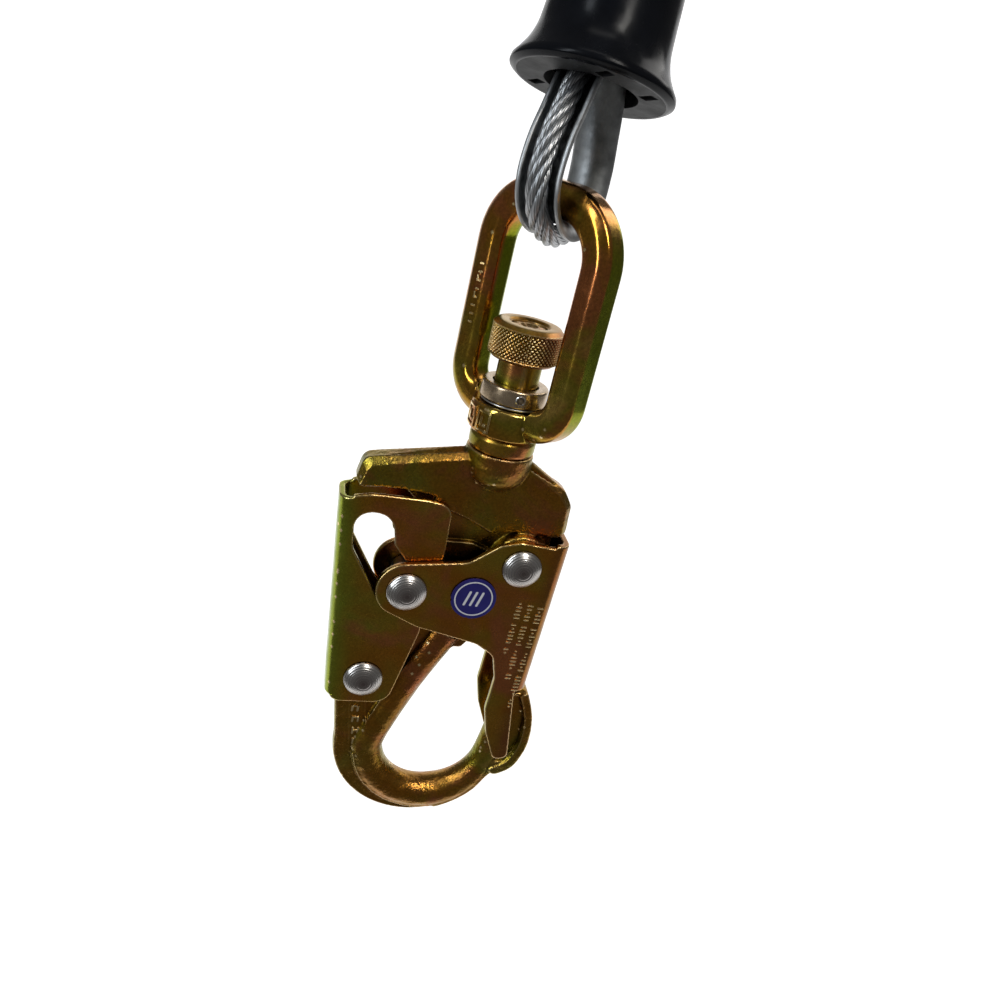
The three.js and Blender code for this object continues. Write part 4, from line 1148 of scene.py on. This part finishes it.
def spring(name, at, front, node):
    """A torsion spring's coil round a pivot, wound back 1 mm from its front end."""
    steps = round(40 * SPRING_TURNS)
    path = []
    for i in range(steps + 1):
        a = TAU * SPRING_TURNS * i / steps
        path.append(Vector((*polar(SPRING_R, a), front - i / steps)))
    coil = tube(circle((0, 0), SPRING_WIRE_R, 12), path, Vector((0, 0, 1)))
    made(name, coil, crosswise(*at), "hidden_steel", "hook", "stainless", node)


LABEL_R = 6


def label():
    """A blue sticker with a ring and three slanting strokes, and a slightly nicked edge."""
    at = HOOK @ Matrix.Translation((0.2, -8.3, -42.3))
    rng = random.Random(4)
    rim = []
    for k in range(96):
        a = TAU * k / 96
        r = LABEL_R - (0.25 if k in (50, 51, 70) else 0.04 * rng.random())
        rim.append(polar(r, a))
    made("label_disc", slab([rim], -0.3, 0), at, "label", "gate", "label_blue", "inspection_label", angle=30)
    marks = [slab([circle((0, 0), 5.1, 64), circle((0, 0), 4.75, 64)], -0.36, -0.25)]
    for x in (-1.7, 0, 1.7):
        marks.append(slab([rounded([(x - 0.95, -2.2, 0.25), (x - 0.3, -2.2, 0.25), (x + 0.95, 2.2, 0.25),
                                    (x + 0.3, 2.2, 0.25)], 30)], -0.36, -0.25))
    made("label_print", merged(*marks), at, "print", "gate", "label_blue", angle=30)


hook_body()
lock_lever()
gate()
rivet("gate_rivet_spun", GATE_PIVOT, GATE_GRIP, RIVET_R, "hook", "gate_rivet")
rivet("lever_rivet_spun", LEVER_PIVOT, LEVER_GRIP, RIVET_R, "hook", "lever_rivet")
rivet("lock_rivet_spun", LOCK_PIN, GATE_GRIP, LOCK_RIVET_R, "gate", "lock_rivet")
bush("gate_bush_turned", GATE_PIVOT, PIVOT_BORE, 3.9, 5.9, "hook", "gate_bush")
bush("lever_bush_turned", LEVER_PIVOT, PIVOT_BORE, 3.9, 4, "hook", "lever_bush")
bush("lock_sleeve_turned", LOCK_PIN, LOCK_BORE, 3.1, 5.9, "gate", "lock_sleeve")
spring("gate_spring_wire", GATE_PIVOT, 5.15, "gate_spring")
spring("lever_spring_wire", LEVER_PIVOT, 3.35, "lever_spring")
label()


# ---- floor and light ----
def floor():
    """A pale light table below the hanging part, curving up into a wall behind it."""
    p = Paint("floor_pale", Roughness=0.9, Emission_Color=(1, 1, 1, 1), Emission_Strength=0.82)
    p.set("Base Color", p.ramp(p.noise(6, 2), [(0.3, (0.80, 0.80, 0.80)), (0.7, (0.83, 0.83, 0.83))]))
    MATERIAL["floor"] = p.material
    curve = [(2 + sin(a), -0.1 - cos(a)) for a in np.linspace(0, pi / 2, 24)]
    profile = [(-0.25, -1.1), *curve, (3, 1.6)]  # metres ahead and up
    verts = [VIEW_AHEAD * out + VIEW_RIGHT * side + Vector((0, 0, z)) for side in (-2.4, 2.4) for out, z in profile]
    n = len(profile)
    faces = [(k, k + 1, n + k + 1, n + k) for k in range(n - 1)]
    mesh_piece("floor", verts, faces, Matrix(), "floor")


def area_light(name, where, size, power, colour):
    """A lamp that faces the hook's datum."""
    data = bpy.data.lights.new(name, "AREA")
    data.shape = "RECTANGLE"
    data.size, data.size_y = size
    data.energy = power
    data.color = colour
    lamp = bpy.data.objects.new(name, data)
    lamp.location = where
    lamp.rotation_euler = (DATUM - Vector(where)).to_track_quat("-Z", "Y").to_euler()
    bpy.context.scene.collection.objects.link(lamp)


def studio():
    world = bpy.data.worlds.new("studio")
    bpy.context.scene.world = world
    world.use_nodes = True
    world.node_tree.nodes["Background"].inputs["Color"].default_value = (0.13, 0.128, 0.125, 1)
    area_light("key", (0.18, -0.62, 0.5), (0.16, 0.4), 4.2, (1, 0.97, 0.92))
    area_light("window", (-0.75, -0.45, 0.1), (0.16, 0.9), 5, (0.86, 0.93, 1))
    area_light("top", (-0.1, -0.25, 0.75), (0.5, 0.14), 0.5, (1, 0.98, 0.95))
    area_light("rim", (0.65, 0.35, 0.4), (0.3, 0.5), 1.3, (1, 0.98, 0.95))


floor()
studio()
bpy.context.scene.view_settings.view_transform = "Standard"
bpy.context.view_layer.update()
